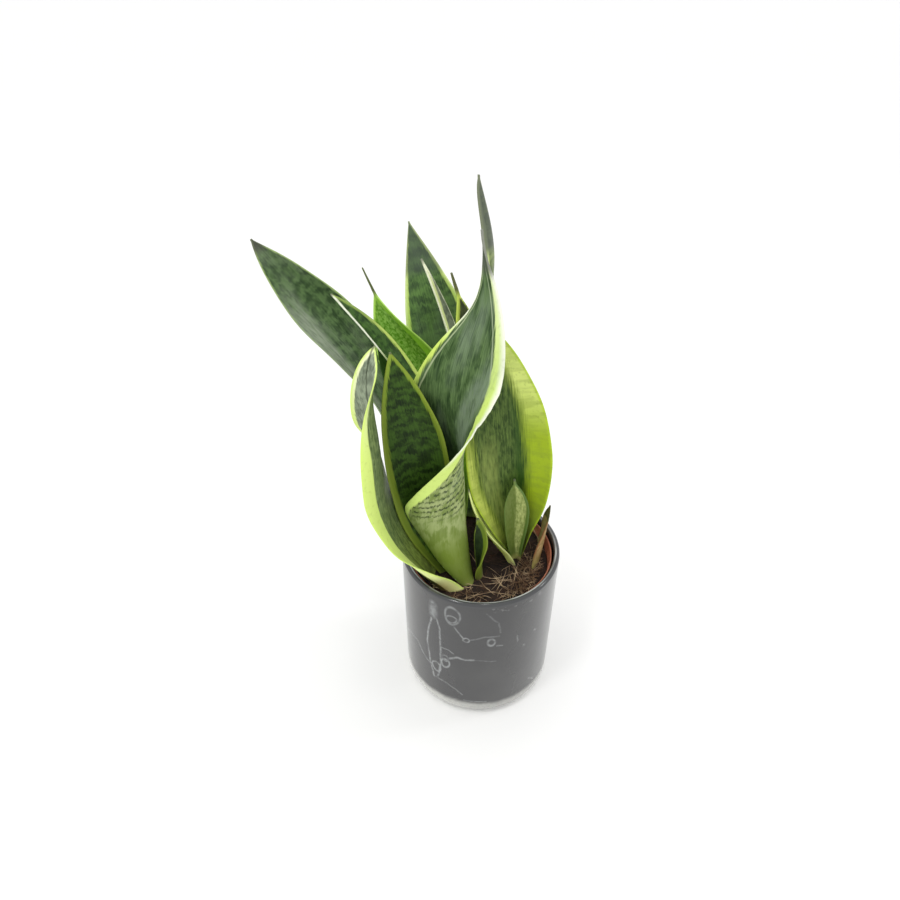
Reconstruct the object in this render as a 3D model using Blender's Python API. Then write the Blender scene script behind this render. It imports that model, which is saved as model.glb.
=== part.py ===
"""A young variegated snake plant in a growing pot, standing in a straight glazed cover pot.

Metres, +Z up. The origin is the middle of the cover pot's foot, on the surface that the pot stands on.
The plant's front faces -Y.
"""
import math

import bpy
import bmesh
from mathutils import Vector

MM = 0.001

# Cover pot: a straight glazed cylinder for a 110 mm growing pot
POT_RADIUS = 62.0 * MM
POT_HEIGHT = 138.0 * MM
POT_WALL = 4.5 * MM
POT_FLOOR = 7.0 * MM
POT_FOOT_ROUND = 11.0 * MM
POT_LIP_ROUND = 2.2 * MM
POT_SEGMENTS = 48

# Growing pot: thin plastic, a little conical, with a rim a few millimetres below the cover pot's lip
GROW_TOP_RADIUS = 56.2 * MM
GROW_FOOT_RADIUS = 47.0 * MM
GROW_TOP = 133.0 * MM
GROW_BOTTOM = POT_FLOOR + 0.3 * MM
GROW_WALL = 1.2 * MM
GROW_RIM_DROP = 6.0 * MM
GROW_RIM_STEP = 1.0 * MM

# Potting mix: a gently uneven surface
SOIL_TOP = 124.0 * MM
SOIL_GAP = 0.3 * MM
SOIL_SWELL = 1.2 * MM

# The leaf feet stand this deep, just over the underground stem
FOOT_LEVEL = 110.0 * MM
HOLE_GAP = 0.6 * MM
HOLE_DEEPER = 2.0 * MM
STEM_RADIUS = 7.0 * MM
STEM_GAP = 0.5 * MM

# Leaf blade: thick along the middle, thinner at the margins
BLADE_MIDDLE = 2.4 * MM
BLADE_MARGIN = 0.9 * MM
BLADE_TIP = 0.9 * MM
BLADE_STEP = 14.5 * MM
BLADE_ACROSS = 8
NARROW_BLADE = 30.0

# Where the shoots come up, and how high the middle of the underground stem lies there
FRONT_SHOOT = (-8.0, -28.0, 98.5)
RIGHT_SHOOT = (31.0, 5.0, 101.5)
LEFT_SHOOT = (-29.0, 14.0, 101.5)
BACK_SHOOT = (4.0, 36.0, 101.5)

# The leaves. Lengths and widths are in millimetres, angles in degrees. Angles are given at equal steps
# from the foot to the tip, and the blade passes smoothly through them:
#   rise     how steeply the leaf climbs, 90 is upright
#   heading  the way it leans, 0 is +X, 90 is +Y
#   facing   the way its inner face looks, -90 is the front
#   curl     how far each half of the blade is rolled up, left and right of its middle
#   lean     how much wider the right half is than the left
#   spike    the share of the length that is a thin awl at the tip, where there is one
#   taper    how full the blade stays above its widest place, 2.2 unless given
LEAVES = {
    "leaf_front_curl": {
        "foot": (-1, -29), "length": 283, "width": 75, "widest": 0.45, "foot_width": 0.2,
        "rise": (69, 82, 93, 86, 76, 81), "heading": (145, 142, 62, -16, 18, 208),
        "facing": (188, 145, 174, 222, 214, 189), "curl_left": (75, 97, 105, 57, -19, 1),
        "curl_right": (91, 108, 103, 58, -6, 37), "lean": (-0.16, 0.5, -0.14, 0.06, -0.03), "wave": 0.5,
    },
    "leaf_front_inner": {
        "foot": (-13, -19), "length": 209, "width": 47, "widest": 0.55, "foot_width": 0.25,
        "rise": (71, 78, 80), "heading": (171, 176, 187), "facing": (-110, -91, -84),
        "curl_left": (52, 40, 25), "curl_right": (47, 35, 25), "lean": (-0.5, -0.4, -0.1, 0.05, 0.05),
        "wave": 0.3,
    },
    "leaf_front_left": {
        "foot": (-20, -35), "length": 224, "width": 57, "widest": 0.5, "foot_width": 0.62,
        "rise": (45, 60, 76, 90, 73, 56), "heading": (161, 187, 183, 132, 127, 45),
        "facing": (30, 12, 2, 4, 35, 79), "curl_left": (91, 68, 16, -38, -85, 22),
        "curl_right": (60, 39, 2, -20, -47, 9), "lean": (0, 0), "wave": 0.3,
    },
    "leaf_front_low": {
        "foot": (3, -19.5), "length": 77, "width": 17, "widest": 0.5, "foot_width": 0.4,
        "rise": (97, 94, 97), "heading": (18, 35, 49), "facing": (167, 210, 278),
        "curl_left": (78, 68, 41), "curl_right": (93, 62, 33), "lean": (0, 0.45, 0.45), "wave": 0.2,
        "taper": 2.4,
    },
    "leaf_left_second": {
        "foot": (-28, 7), "length": 245, "width": 32, "widest": 0.45, "foot_width": 0.3,
        "rise": (95, 69, 48), "heading": (149, 145, 206), "facing": (-79, -20, -19),
        "curl_left": (61, 69, 41), "curl_right": (61, 46, 20), "lean": (0, 0), "wave": 0.2,
    },
    "leaf_left_long": {
        "foot": (-37, 19.5), "length": 292, "width": 51, "widest": 0.57, "foot_width": 0.3,
        "rise": (74, 56, 58), "heading": (119, 158, 240), "facing": (-77, -24, -36),
        "curl_left": (70, 48, 2), "curl_right": (44, 52, 54), "lean": (0, 0), "wave": 0.4,
    },
    "leaf_bright": {
        "foot": (-24, 20), "length": 249, "width": 50, "widest": 0.58, "foot_width": 0.3,
        "rise": (91, 70, 68), "heading": (150, 143, 227), "facing": (-70, -56, -135),
        "curl_left": (60, 36, 22), "curl_right": (55, 28, 50), "lean": (0, 0), "wave": 0.2,
        "spike": 0.08,
    },
    "leaf_back_tall": {
        "foot": (-11, 46.5), "length": 264, "width": 59, "widest": 0.45, "foot_width": 0.3,
        "rise": (82, 81, 73), "heading": (154, 150, 195), "facing": (-84, -61, -114),
        "curl_left": (60, 30, 10), "curl_right": (60, 21, 25), "lean": (0, 0), "wave": 0.3,
    },
    "leaf_back_narrow": {
        "foot": (-2.5, 39.5), "length": 245, "width": 16, "widest": 0.5, "foot_width": 0.5,
        "rise": (92, 79, 67), "heading": (170, 155, 190), "facing": (-60, -30, -30),
        "curl_left": (60, 45, 35), "curl_right": (60, 40, 30), "lean": (0, 0), "wave": 0.2,
    },
    "leaf_back_small": {
        "foot": (9, 27), "length": 242, "width": 40, "widest": 0.5, "foot_width": 0.4,
        "rise": (87, 88, 77, 73), "heading": (179, 178, 175, 196), "facing": (-110, -102, -97, -93),
        "curl_left": (60, 46, 35, 29), "curl_right": (60, 46, 35, 28), "lean": (0, 0), "wave": 0.2,
        "spike": 0.06,
    },
    "leaf_back_edge": {
        "foot": (23, 37), "length": 300, "width": 22, "widest": 0.46, "foot_width": 0.4,
        "rise": (87, 80, 77, 89, 54), "heading": (153, 130, 138, 179, 269),
        "facing": (177, 165, 151, 166, 113), "curl_left": (63, 49, 23, 11, 34),
        "curl_right": (62, 54, 40, 21, 26), "lean": (0, 0), "wave": 0.4,
    },
    "leaf_right_broad": {
        "foot": (31, 8), "length": 213, "width": 64, "widest": 0.45, "foot_width": 0.2,
        "rise": (80, 85, 77), "heading": (165, 185, 195), "facing": (-85, -90, -90),
        "curl_left": (140, 25, 10), "curl_right": (140, 30, 10), "lean": (0, 0), "wave": 0.4,
    },
    "leaf_right_low": {
        "foot": (27.5, -5), "length": 102, "width": 20, "widest": 0.49, "foot_width": 0.38,
        "rise": (77, 59, 67, 82), "heading": (166, 192, 198, 192), "facing": (35, 22, 17, 8),
        "curl_left": (50, 34, 14, 1), "curl_right": (58, 40, 19, 7), "lean": (0, 0), "wave": 0,
    },
    "pup": {
        "foot": (31.5, 1), "length": 97, "width": 21, "widest": 0.68, "foot_width": 0.3,
        "rise": (76, 89, 80), "heading": (187, 197, 203), "facing": (-86, -85, -91),
        "curl_left": (103, 67, 26), "curl_right": (100, 62, 17), "lean": (0, 0), "wave": 0,
        "spike": 0.04,
    },
    "dry_sheath": {
        "foot": (42.5, -4.5), "length": 63, "width": 37, "widest": 0.39, "foot_width": 0.6,
        "rise": (56, 71, 82), "heading": (55, 66, 56), "facing": (177, 169, 199),
        "curl_left": (47, 26, 33), "curl_right": (28, 21, 29), "lean": (0, 0), "wave": 0, "taper": 1.2,
    },
}
WAVES_ALONG = 5.0


def clear_scene():
    for old in list(bpy.data.objects):
        bpy.data.objects.remove(old, do_unlink=True)


def make_material(name, colour, roughness, metallic=0.0):
    material = bpy.data.materials.new(name)
    material.use_nodes = True
    shader = material.node_tree.nodes["Principled BSDF"]
    shader.inputs["Base Color"].default_value = (colour[0], colour[1], colour[2], 1.0)
    shader.inputs["Roughness"].default_value = roughness
    shader.inputs["Metallic"].default_value = metallic
    material.diffuse_color = (colour[0], colour[1], colour[2], 1.0)
    return material


def mesh_object(name, points, faces, material, smooth=True):
    mesh = bpy.data.meshes.new(name)
    mesh.from_pydata([tuple(p) for p in points], [], faces)
    mesh.update()
    work = bmesh.new()
    work.from_mesh(mesh)
    bmesh.ops.recalc_face_normals(work, faces=work.faces[:])
    work.to_mesh(mesh)
    work.free()
    if smooth:
        mesh.shade_smooth()
        mesh.set_sharp_from_angle(angle=math.radians(40))
    mesh.materials.append(material)
    made = bpy.data.objects.new(name, mesh)
    bpy.context.scene.collection.objects.link(made)
    return made


def turned(profile, segments):
    """Points and faces of a profile of (radius, height) turned round Z. Radius 0 closes on the axis."""
    points = []
    rings = []
    for radius, height in profile:
        if radius < 1e-7:
            rings.append([len(points)])
            points.append((0.0, 0.0, height))
            continue
        ring = []
        for k in range(segments):
            angle = 2 * math.pi * k / segments
            ring.append(len(points))
            points.append((radius * math.cos(angle), radius * math.sin(angle), height))
        rings.append(ring)
    faces = []
    for low, high in zip(rings, rings[1:]):
        for k in range(segments):
            n = (k + 1) % segments
            if len(low) == 1:
                faces.append((low[0], high[k], high[n]))
            elif len(high) == 1:
                faces.append((low[k], high[0], low[n]))
            else:
                faces.append((low[k], high[k], high[n], low[n]))
    return points, faces


def arc(centre, radius, start, end, steps):
    """Profile points of a round, angles in degrees from +X."""
    out = []
    for k in range(steps + 1):
        angle = math.radians(start + (end - start) * k / steps)
        out.append((centre[0] + radius * math.cos(angle), centre[1] + radius * math.sin(angle)))
    return out


def smooth_value(values, s):
    """The value at s, from 0 to 1, on a smooth curve through equally spaced values."""
    count = len(values)
    place = min(max(s, 0.0), 1.0) * (count - 1)
    i = min(int(place), count - 2)
    t = place - i
    before = values[i - 1] if i > 0 else 2 * values[0] - values[1]
    after = values[i + 2] if i + 2 < count else 2 * values[-1] - values[-2]
    b = values[i]
    c = values[i + 1]
    first = c - before
    second = 2 * before - 5 * b + 4 * c - after
    third = after - before + 3 * b - 3 * c
    return 0.5 * (2 * b + first * t + second * t ** 2 + third * t ** 3)


def half_width(leaf, s):
    """Half the flat width of the blade at s: narrow at the foot, widest part way, pointed at the tip."""
    widest = leaf["widest"]
    u = min(s / (1 - leaf.get("spike", 0.0)), 1.0)
    if u < widest:
        swell = math.sin(u / widest * math.pi / 2) ** 1.3
        share = leaf["foot_width"] + (1 - leaf["foot_width"]) * swell
    else:
        share = 1 - ((u - widest) / (1 - widest)) ** leaf.get("taper", 2.2)
    return max(leaf["width"] / 2 * share * MM, BLADE_TIP)


def blade_thickness(s, v):
    """Full thickness at s along and v across, where v runs from -1 to 1."""
    middle = BLADE_MARGIN + (BLADE_MIDDLE - BLADE_MARGIN) * (1 - abs(v) ** 1.5)
    taper = min(max((1 - s) / 0.5, 0.0), 1.0) ** 0.7
    return BLADE_MARGIN + (middle - BLADE_MARGIN) * taper


def blade_spine(leaf, along):
    """The middle line, and at each station the directions along, out of the inner face, and across."""
    fine = 4
    steps = along * fine
    point = Vector((leaf["foot"][0] * MM, leaf["foot"][1] * MM, FOOT_LEVEL))
    length = leaf["length"] * MM
    spine = []
    last = None
    for k in range(steps + 1):
        s = k / steps
        rise = math.radians(smooth_value(leaf["rise"], s))
        heading = math.radians(smooth_value(leaf["heading"], s))
        level = math.cos(rise)
        ahead = Vector((level * math.cos(heading), level * math.sin(heading), math.sin(rise)))
        if last is not None:
            point = point + (ahead + last) * (0.5 * length / steps)
        last = ahead
        if k % fine == 0:
            facing = math.radians(smooth_value(leaf["facing"], s))
            out = Vector((math.cos(facing), math.sin(facing), 0.0))
            out = (out - ahead * out.dot(ahead)).normalized()
            spine.append((s, point.copy(), ahead, out, ahead.cross(out)))
    return spine


def blade_section(leaf, station, across, margin_extra=0.0):
    """Middle-surface points and normals across the blade at one station, from left to right."""
    s, centre, ahead, out, side_way = station
    half = half_width(leaf, s)
    lean = smooth_value(leaf["lean"], s)
    steps = across // 2
    halves = []
    for side, curl_name in ((-1, "curl_left"), (1, "curl_right")):
        curl = math.radians(smooth_value(leaf[curl_name], s))
        reach = half * (1 + side * lean)
        over = 0.0
        up = 0.0
        row = []
        for k in range(steps + 1):
            q = k / steps
            if k:
                turn = curl * (k - 0.5) / steps
                over += math.cos(turn) * reach / steps
                up += math.sin(turn) * reach / steps
            tilt = curl * q
            normal = out * math.cos(tilt) - side_way * (side * math.sin(tilt))
            ripple = leaf["wave"] * MM * q ** 4 * math.sin(2 * math.pi * WAVES_ALONG * s + side)
            middle = centre + side_way * (side * over) + out * up + normal * ripple
            if k == steps:
                middle = middle + (side_way * (side * math.cos(tilt)) + out * math.sin(tilt)) * margin_extra
            row.append((side * q, middle, normal))
        halves.append(row)
    return halves[0][:0:-1] + halves[1]


def blade_mesh(leaf, grow=0.0, deeper=0.0, until=1.0):
    """Points and faces of the closed blade. Both faces are split into the same triangles."""
    along = max(8, round(leaf["length"] * MM / BLADE_STEP))
    across = BLADE_ACROSS if leaf["width"] > NARROW_BLADE else BLADE_ACROSS - 2
    stations = [st for st in blade_spine(leaf, along) if st[0] <= until + 1 / along]
    if deeper:
        first = stations[0]
        stations.insert(0, (first[0], first[1] - first[2] * deeper, first[2], first[3], first[4]))
    inner = []
    outer = []
    for station in stations:
        for v, middle, normal in blade_section(leaf, station, across, grow):
            half = blade_thickness(station[0], v) / 2 + grow
            inner.append(middle + normal * half)
            outer.append(middle - normal * half)
    points = inner + outer
    count = len(inner)
    wide = across + 1
    rows = len(stations)
    faces = []
    for i in range(rows - 1):
        for j in range(across):
            a = i * wide + j
            b = a + 1
            c = a + wide + 1
            d = a + wide
            faces.append((a, b, c))
            faces.append((a, c, d))
            faces.append((a + count, c + count, b + count))
            faces.append((a + count, d + count, c + count))
        for a, d in ((i * wide, (i + 1) * wide), (i * wide + across, (i + 1) * wide + across)):
            faces.append((a, d, d + count))
            faces.append((a, d + count, a + count))
    for i in (0, rows - 1):
        for j in range(across):
            a = i * wide + j
            faces.append((a, a + 1, a + 1 + count))
            faces.append((a, a + 1 + count, a + count))
    return points, faces


def split_faces(target):
    """Split every face into triangles, so that an uneven face has one definite shape."""
    work = bmesh.new()
    work.from_mesh(target.data)
    bmesh.ops.triangulate(work, faces=work.faces[:])
    work.to_mesh(target.data)
    work.free()


def cut_away(target, cutters, name):
    """Cut all the cutters out of the target with one Boolean, and keep the cut mesh."""
    split_faces(target)
    group = bpy.data.collections.new(name)
    bpy.context.scene.collection.children.link(group)
    for cutter in cutters:
        bpy.context.scene.collection.objects.unlink(cutter)
        group.objects.link(cutter)
        cutter.hide_render = True
        cutter.display_type = "WIRE"
    change = target.modifiers.new(name, "BOOLEAN")
    change.operation = "DIFFERENCE"
    change.solver = "EXACT"
    change.operand_type = "COLLECTION"
    change.collection = group
    apply_modifiers(target)
    for cutter in list(group.objects):
        bpy.data.objects.remove(cutter, do_unlink=True)
    bpy.data.collections.remove(group)


def apply_modifiers(target):
    view = bpy.context.evaluated_depsgraph_get()
    done = bpy.data.meshes.new_from_object(target.evaluated_get(view))
    target.modifiers.clear()
    old = target.data
    target.data = done
    bpy.data.meshes.remove(old)


def rounded_bar(start, end, radius, sides=10, rings=2):
    """Points and faces of a bar with round ends, between two points."""
    axis = (end - start).normalized()
    first = axis.orthogonal().normalized()
    second = axis.cross(first)
    rows = []
    for k in range(1, rings + 1):
        angle = math.pi / 2 * k / rings
        rows.append((start - axis * radius * math.cos(angle), radius * math.sin(angle)))
    for k in range(rings, 0, -1):
        angle = math.pi / 2 * k / rings
        rows.append((end + axis * radius * math.cos(angle), radius * math.sin(angle)))
    points = [start - axis * radius]
    for centre, size in rows:
        for k in range(sides):
            angle = 2 * math.pi * k / sides
            points.append(centre + (first * math.cos(angle) + second * math.sin(angle)) * size)
    points.append(end + axis * radius)
    faces = []
    last = len(points) - 1
    for k in range(sides):
        n = (k + 1) % sides
        faces.append((0, 1 + n, 1 + k))
        faces.append((last, last - sides + k, last - sides + n))
        for r in range(len(rows) - 1):
            a = 1 + r * sides
            faces.append((a + k, a + n, a + sides + n, a + sides + k))
    return points, faces


def make_cover_pot(material):
    inner = POT_RADIUS - POT_WALL
    profile = [(0.0, 0.0)]
    centre = (POT_RADIUS - POT_FOOT_ROUND, POT_FOOT_ROUND)
    profile += arc(centre, POT_FOOT_ROUND, -90, 0, 5)
    lip = POT_LIP_ROUND
    profile += arc((POT_RADIUS - lip, POT_HEIGHT - lip), lip, 0, 90, 3)
    profile += arc((inner + lip, POT_HEIGHT - lip), lip, 90, 180, 3)
    corner = 5 * MM
    profile += arc((inner - corner, POT_FLOOR + corner), corner, 0, -90, 2)
    profile += [(0.0, POT_FLOOR)]
    points, faces = turned(profile, POT_SEGMENTS)
    return mesh_object("cover_pot", points, faces, material)


def make_growing_pot(material):
    rim = GROW_TOP_RADIUS
    neck = rim - GROW_RIM_STEP
    profile = [
        (0.0, GROW_BOTTOM), (GROW_FOOT_RADIUS - 3 * MM, GROW_BOTTOM),
        (GROW_FOOT_RADIUS, GROW_BOTTOM + 3 * MM), (neck, GROW_TOP - GROW_RIM_DROP),
        (rim, GROW_TOP - GROW_RIM_DROP + 1 * MM), (rim, GROW_TOP - 0.5 * MM),
        (rim - 0.5 * MM, GROW_TOP), (rim - GROW_WALL, GROW_TOP), (rim - GROW_WALL, GROW_TOP - GROW_RIM_DROP),
        (neck - GROW_WALL, GROW_TOP - GROW_RIM_DROP - 1 * MM),
        (GROW_FOOT_RADIUS - GROW_WALL, GROW_BOTTOM + 3.5 * MM),
        (GROW_FOOT_RADIUS - 3 * MM - GROW_WALL / 2, GROW_BOTTOM + GROW_WALL), (0.0, GROW_BOTTOM + GROW_WALL),
    ]
    points, faces = turned(profile, POT_SEGMENTS)
    return mesh_object("nursery_pot", points, faces, material)


def soil_height(x, y):
    """The uneven top of the potting mix, a little higher round the shoots."""
    r = math.hypot(x, y) / GROW_TOP_RADIUS
    swell = math.sin(x / (9 * MM) + 0.6) * math.cos(y / (11 * MM) - 0.4)
    return SOIL_TOP + SOIL_SWELL * swell * (1 - r ** 4) + 1.0 * MM * (1 - r * r)


def make_soil(material, cutters):
    neck = GROW_TOP_RADIUS - GROW_RIM_STEP - GROW_WALL - SOIL_GAP
    foot = GROW_FOOT_RADIUS - GROW_WALL - SOIL_GAP
    slope_height = GROW_TOP - GROW_RIM_DROP - 1 * MM - GROW_BOTTOM - 3.5 * MM
    bottom = GROW_BOTTOM + GROW_WALL + SOIL_GAP
    low = GROW_BOTTOM + 4 * MM

    def wall(z):
        return foot + (neck - foot) * (z - GROW_BOTTOM - 3.5 * MM) / slope_height

    top_radius = wall(SOIL_TOP - 0.5 * MM)
    profile = [(0.0, bottom), (foot - 3 * MM, bottom), (wall(low), low), (top_radius, SOIL_TOP)]
    profile += [(top_radius * share, SOIL_TOP) for share in (0.75, 0.45)] + [(0.0, SOIL_TOP)]
    points, faces = turned(profile, POT_SEGMENTS)
    shaped = []
    for x, y, z in points:
        shaped.append((x, y, soil_height(x, y) if abs(z - SOIL_TOP) < 1e-9 else z))
    soil = mesh_object("soil", shaped, faces, material)
    cut_away(soil, cutters, "soil_holes")
    return soil


def stem_bars(extra):
    """The underground stem's bars, each from one shoot to the next, grown by extra all round."""
    def spot(shoot):
        return Vector(shoot) * MM

    runs = (
        (spot(FRONT_SHOOT), spot(LEFT_SHOOT)),
        (spot(LEFT_SHOOT), spot(BACK_SHOOT)),
        (spot(FRONT_SHOOT), spot(RIGHT_SHOOT)),
    )
    return [rounded_bar(a, b, STEM_RADIUS + extra) for a, b in runs]


def make_rhizome(material):
    bars = []
    for k, (points, faces) in enumerate(stem_bars(0.0)):
        bars.append(mesh_object("stem_bar_%d" % k, points, faces, material))
    body = bars[0]
    group = bpy.data.collections.new("stem_parts")
    bpy.context.scene.collection.children.link(group)
    for bar in bars[1:]:
        bpy.context.scene.collection.objects.unlink(bar)
        group.objects.link(bar)
    join = body.modifiers.new("join", "BOOLEAN")
    join.operation = "UNION"
    join.solver = "EXACT"
    join.operand_type = "COLLECTION"
    join.collection = group
    apply_modifiers(body)
    for bar in list(group.objects):
        bpy.data.objects.remove(bar, do_unlink=True)
    bpy.data.collections.remove(group)
    body.name = "rhizome"
    body.data.name = "rhizome"
    return body


def make_leaf(name, leaf, material):
    points, faces = blade_mesh(leaf)
    return mesh_object(name, points, faces, material)


def soil_cutters(material):
    """The plain holes that the leaf feet stand in, and the space round the underground stem."""
    cutters = []
    for name, leaf in LEAVES.items():
        points, faces = blade_mesh(leaf, HOLE_GAP, HOLE_DEEPER, 24.0 / leaf["length"])
        cutters.append(mesh_object("hole_" + name, points, faces, material, smooth=False))
    for k, (points, faces) in enumerate(stem_bars(STEM_GAP)):
        cutters.append(mesh_object("stem_space_%d" % k, points, faces, material, smooth=False))
    return cutters


def main():
    clear_scene()
    glaze = make_material("dark_glaze", (0.035, 0.036, 0.04), 0.12)
    plastic = make_material("terracotta_plastic", (0.36, 0.12, 0.06), 0.5)
    mix = make_material("potting_mix", (0.045, 0.024, 0.014), 0.95)
    green = make_material("leaf_green", (0.07, 0.16, 0.05), 0.38)
    bright = make_material("leaf_bright_green", (0.16, 0.34, 0.04), 0.4)
    dry = make_material("dry_leaf", (0.38, 0.24, 0.11), 0.8)
    cream = make_material("rhizome_skin", (0.55, 0.40, 0.22), 0.7)

    make_cover_pot(glaze)
    make_growing_pot(plastic)
    for name, leaf in LEAVES.items():
        material = green
        if name == "leaf_bright":
            material = bright
        if name == "dry_sheath":
            material = dry
        make_leaf(name, leaf, material)
    make_rhizome(cream)
    make_soil(mix, soil_cutters(mix))


main()
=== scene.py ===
# %% [markdown]
# # A potted snake plant, dressed
# A snake plant is a rosette of stiff, upright leaves that grow from a thick underground stem. This one is
# a young plant of the yellow-edged kind. It stands in a plastic growing pot, and that pot stands in a
# straight, dark, glazed cover pot. The solids come from the packed model. This lesson gives them looks.

import math

import bpy
import numpy as np
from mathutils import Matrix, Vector, noise


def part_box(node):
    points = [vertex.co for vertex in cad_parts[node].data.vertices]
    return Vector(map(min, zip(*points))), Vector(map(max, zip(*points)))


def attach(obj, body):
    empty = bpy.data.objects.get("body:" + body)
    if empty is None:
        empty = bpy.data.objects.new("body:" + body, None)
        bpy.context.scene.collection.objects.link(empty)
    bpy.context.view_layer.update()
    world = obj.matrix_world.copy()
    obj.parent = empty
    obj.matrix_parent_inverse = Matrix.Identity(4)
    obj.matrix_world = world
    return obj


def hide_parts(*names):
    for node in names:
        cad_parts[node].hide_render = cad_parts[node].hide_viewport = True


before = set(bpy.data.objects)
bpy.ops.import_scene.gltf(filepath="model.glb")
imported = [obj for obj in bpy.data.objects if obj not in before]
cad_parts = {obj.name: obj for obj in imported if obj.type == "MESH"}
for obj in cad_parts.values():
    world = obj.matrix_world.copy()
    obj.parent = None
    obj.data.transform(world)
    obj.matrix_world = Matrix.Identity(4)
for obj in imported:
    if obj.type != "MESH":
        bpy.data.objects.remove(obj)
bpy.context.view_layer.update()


MM = 0.001

# %% [markdown]
# ## The camera
# The photograph looks down on the plant at about 37 degrees from less than half a metre away, with a wide
# lens. So the pot narrows towards its foot and the nearest leaf looms. A camera at any other distance would
# give other proportions, which is why it is set first and never moved again.

# %% Place the camera
EYE = Vector((0.0, -0.3622, 0.4985))
AIM = Vector((-0.0242, 0.0, 0.2290))
SENSOR_MM = 36.0
LENS_MM = 25.6

camera_data = bpy.data.cameras.new("camera")
camera_data.sensor_width = SENSOR_MM
camera_data.lens = LENS_MM
camera = bpy.data.objects.new("camera", camera_data)
camera.location = EYE
camera.rotation_euler = (AIM - EYE).to_track_quat("-Z", "Y").to_euler()
bpy.context.scene.collection.objects.link(camera)
bpy.context.scene.camera = camera
print("camera looks down by", round(math.degrees(math.asin((EYE - AIM).normalized().z)), 1), "degrees")

# %% [markdown]
# ## Node helpers
# Every finish here is drawn by shader nodes. A few short helpers keep the recipes readable: one adds a
# node and fills its sockets, and the others wrap the nodes that are used most, such as maths, noise and
# the mixing of colours.

# %% Helpers for shader nodes


class Recipe:
    """A material and short ways to add nodes to it."""

    def __init__(self, name, roughness=0.5, **constants):
        self.material = bpy.data.materials.new(name)
        self.material.use_nodes = True
        self.tree = self.material.node_tree
        self.shader = self.tree.nodes["Principled BSDF"]
        self.shader.inputs["Roughness"].default_value = roughness
        for socket, value in constants.items():
            self.shader.inputs[socket.replace("_", " ")].default_value = value

    def put(self, socket, value):
        """Link a socket to a node's output, or fill it with a number or a colour."""
        if isinstance(value, bpy.types.NodeSocket):
            self.tree.links.new(value, socket)
        elif value is not None:
            if hasattr(socket.default_value, "__len__") and not hasattr(value, "__len__"):
                value = (value,) * len(socket.default_value)
            if hasattr(value, "__len__") and len(socket.default_value) == 4 and len(value) == 3:
                value = (*value, 1.0)
            socket.default_value = value

    def node(self, kind, out=0, inputs=(), **settings):
        """Add a node, set it up and fill its sockets. The answer is one of its outputs."""
        made = self.tree.nodes.new(kind)
        for key, value in settings.items():
            setattr(made, key, value)
        for key, value in dict(inputs).items():
            self.put(made.inputs[key], value)
        return made.outputs[out]

    def math(self, operation, a, b=None, c=None, clamp=False):
        sockets = {0: a, 1: b, 2: c}
        sockets = {k: v for k, v in sockets.items() if v is not None}
        return self.node("ShaderNodeMath", inputs=sockets, operation=operation, use_clamp=clamp)

    def vector(self, x, y, z=0.0):
        return self.node("ShaderNodeCombineXYZ", inputs={0: x, 1: y, 2: z})

    def parts(self, vector):
        made = self.tree.nodes.new("ShaderNodeSeparateXYZ")
        self.put(made.inputs[0], vector)
        return made.outputs[0], made.outputs[1], made.outputs[2]

    def noise(self, place, scale=1.0, detail=2.0, rough=0.5):
        return self.node("ShaderNodeTexNoise", inputs={
            "Vector": place, "Scale": scale, "Detail": detail, "Roughness": rough})

    def step(self, value, low, high, to_low=0.0, to_high=1.0):
        """A soft step: to_low under low, to_high over high."""
        return self.node("ShaderNodeMapRange", inputs={0: value, 1: low, 2: high, 3: to_low, 4: to_high},
                         interpolation_type="SMOOTHSTEP")

    def mix(self, share, first, second):
        made = self.tree.nodes.new("ShaderNodeMix")
        made.data_type = "RGBA"
        self.put(made.inputs[0], share)
        self.put(made.inputs[6], first)
        self.put(made.inputs[7], second)
        return made.outputs[2]

    def attribute(self, name):
        return self.node("ShaderNodeAttribute", out=1, attribute_name=name)

    def place(self):
        """The place on the object itself, in metres."""
        return self.node("ShaderNodeTexCoord", out=3)

    def colour(self, value):
        self.put(self.shader.inputs["Base Color"], value)

    def rough(self, value):
        self.put(self.shader.inputs["Roughness"], value)

    def bump(self, height, distance, strength=1.0):
        sockets = {"Height": height, "Distance": distance, "Strength": strength}
        made = self.node("ShaderNodeBump", inputs=sockets)
        self.put(self.shader.inputs["Normal"], made)


def rgb(red, green, blue):
    """A colour given as a paint program's 0 to 255 numbers, as the linear light that Blender uses."""
    out = []
    for c in (red, green, blue):
        c = c / 255.0
        out.append(c / 12.92 if c <= 0.04045 else ((c + 0.055) / 1.055) ** 2.4)
    return tuple(out)


print("paint 128 is", round(rgb(128, 128, 128)[0], 3), "in linear light")

# %% [markdown]
# ## Floor and light
# The plant stands on something plain and nearly white, in soft light from all around. A large pale floor
# and a bright, even sky do most of that. Three small lamps add a soft shadow and highlights on the lip,
# beside the painted highlight on the lip's crest. The view transform is the plain one, so that a white floor
# stays white and the greens keep their strength.

# %% Lay the floor and light the sky
scene = bpy.context.scene
scene.view_settings.view_transform = "Standard"
scene.view_settings.exposure = 0.0

FLOOR_REACH = 40.0
SKY_STRENGTH = 1.04
floor_mesh = bpy.data.meshes.new("floor")
corners = [(x * FLOOR_REACH, y * FLOOR_REACH, 0) for x, y in ((-1, -1), (1, -1), (1, 1), (-1, 1))]
floor_mesh.from_pydata(corners, [], [(0, 1, 2, 3)])
floor = bpy.data.objects.new("floor", floor_mesh)
scene.collection.objects.link(floor)
floor_paint = Recipe("pale_floor", 0.75)
floor_paint.colour((0.97, 0.97, 0.96))
floor_mesh.materials.append(floor_paint.material)

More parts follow.
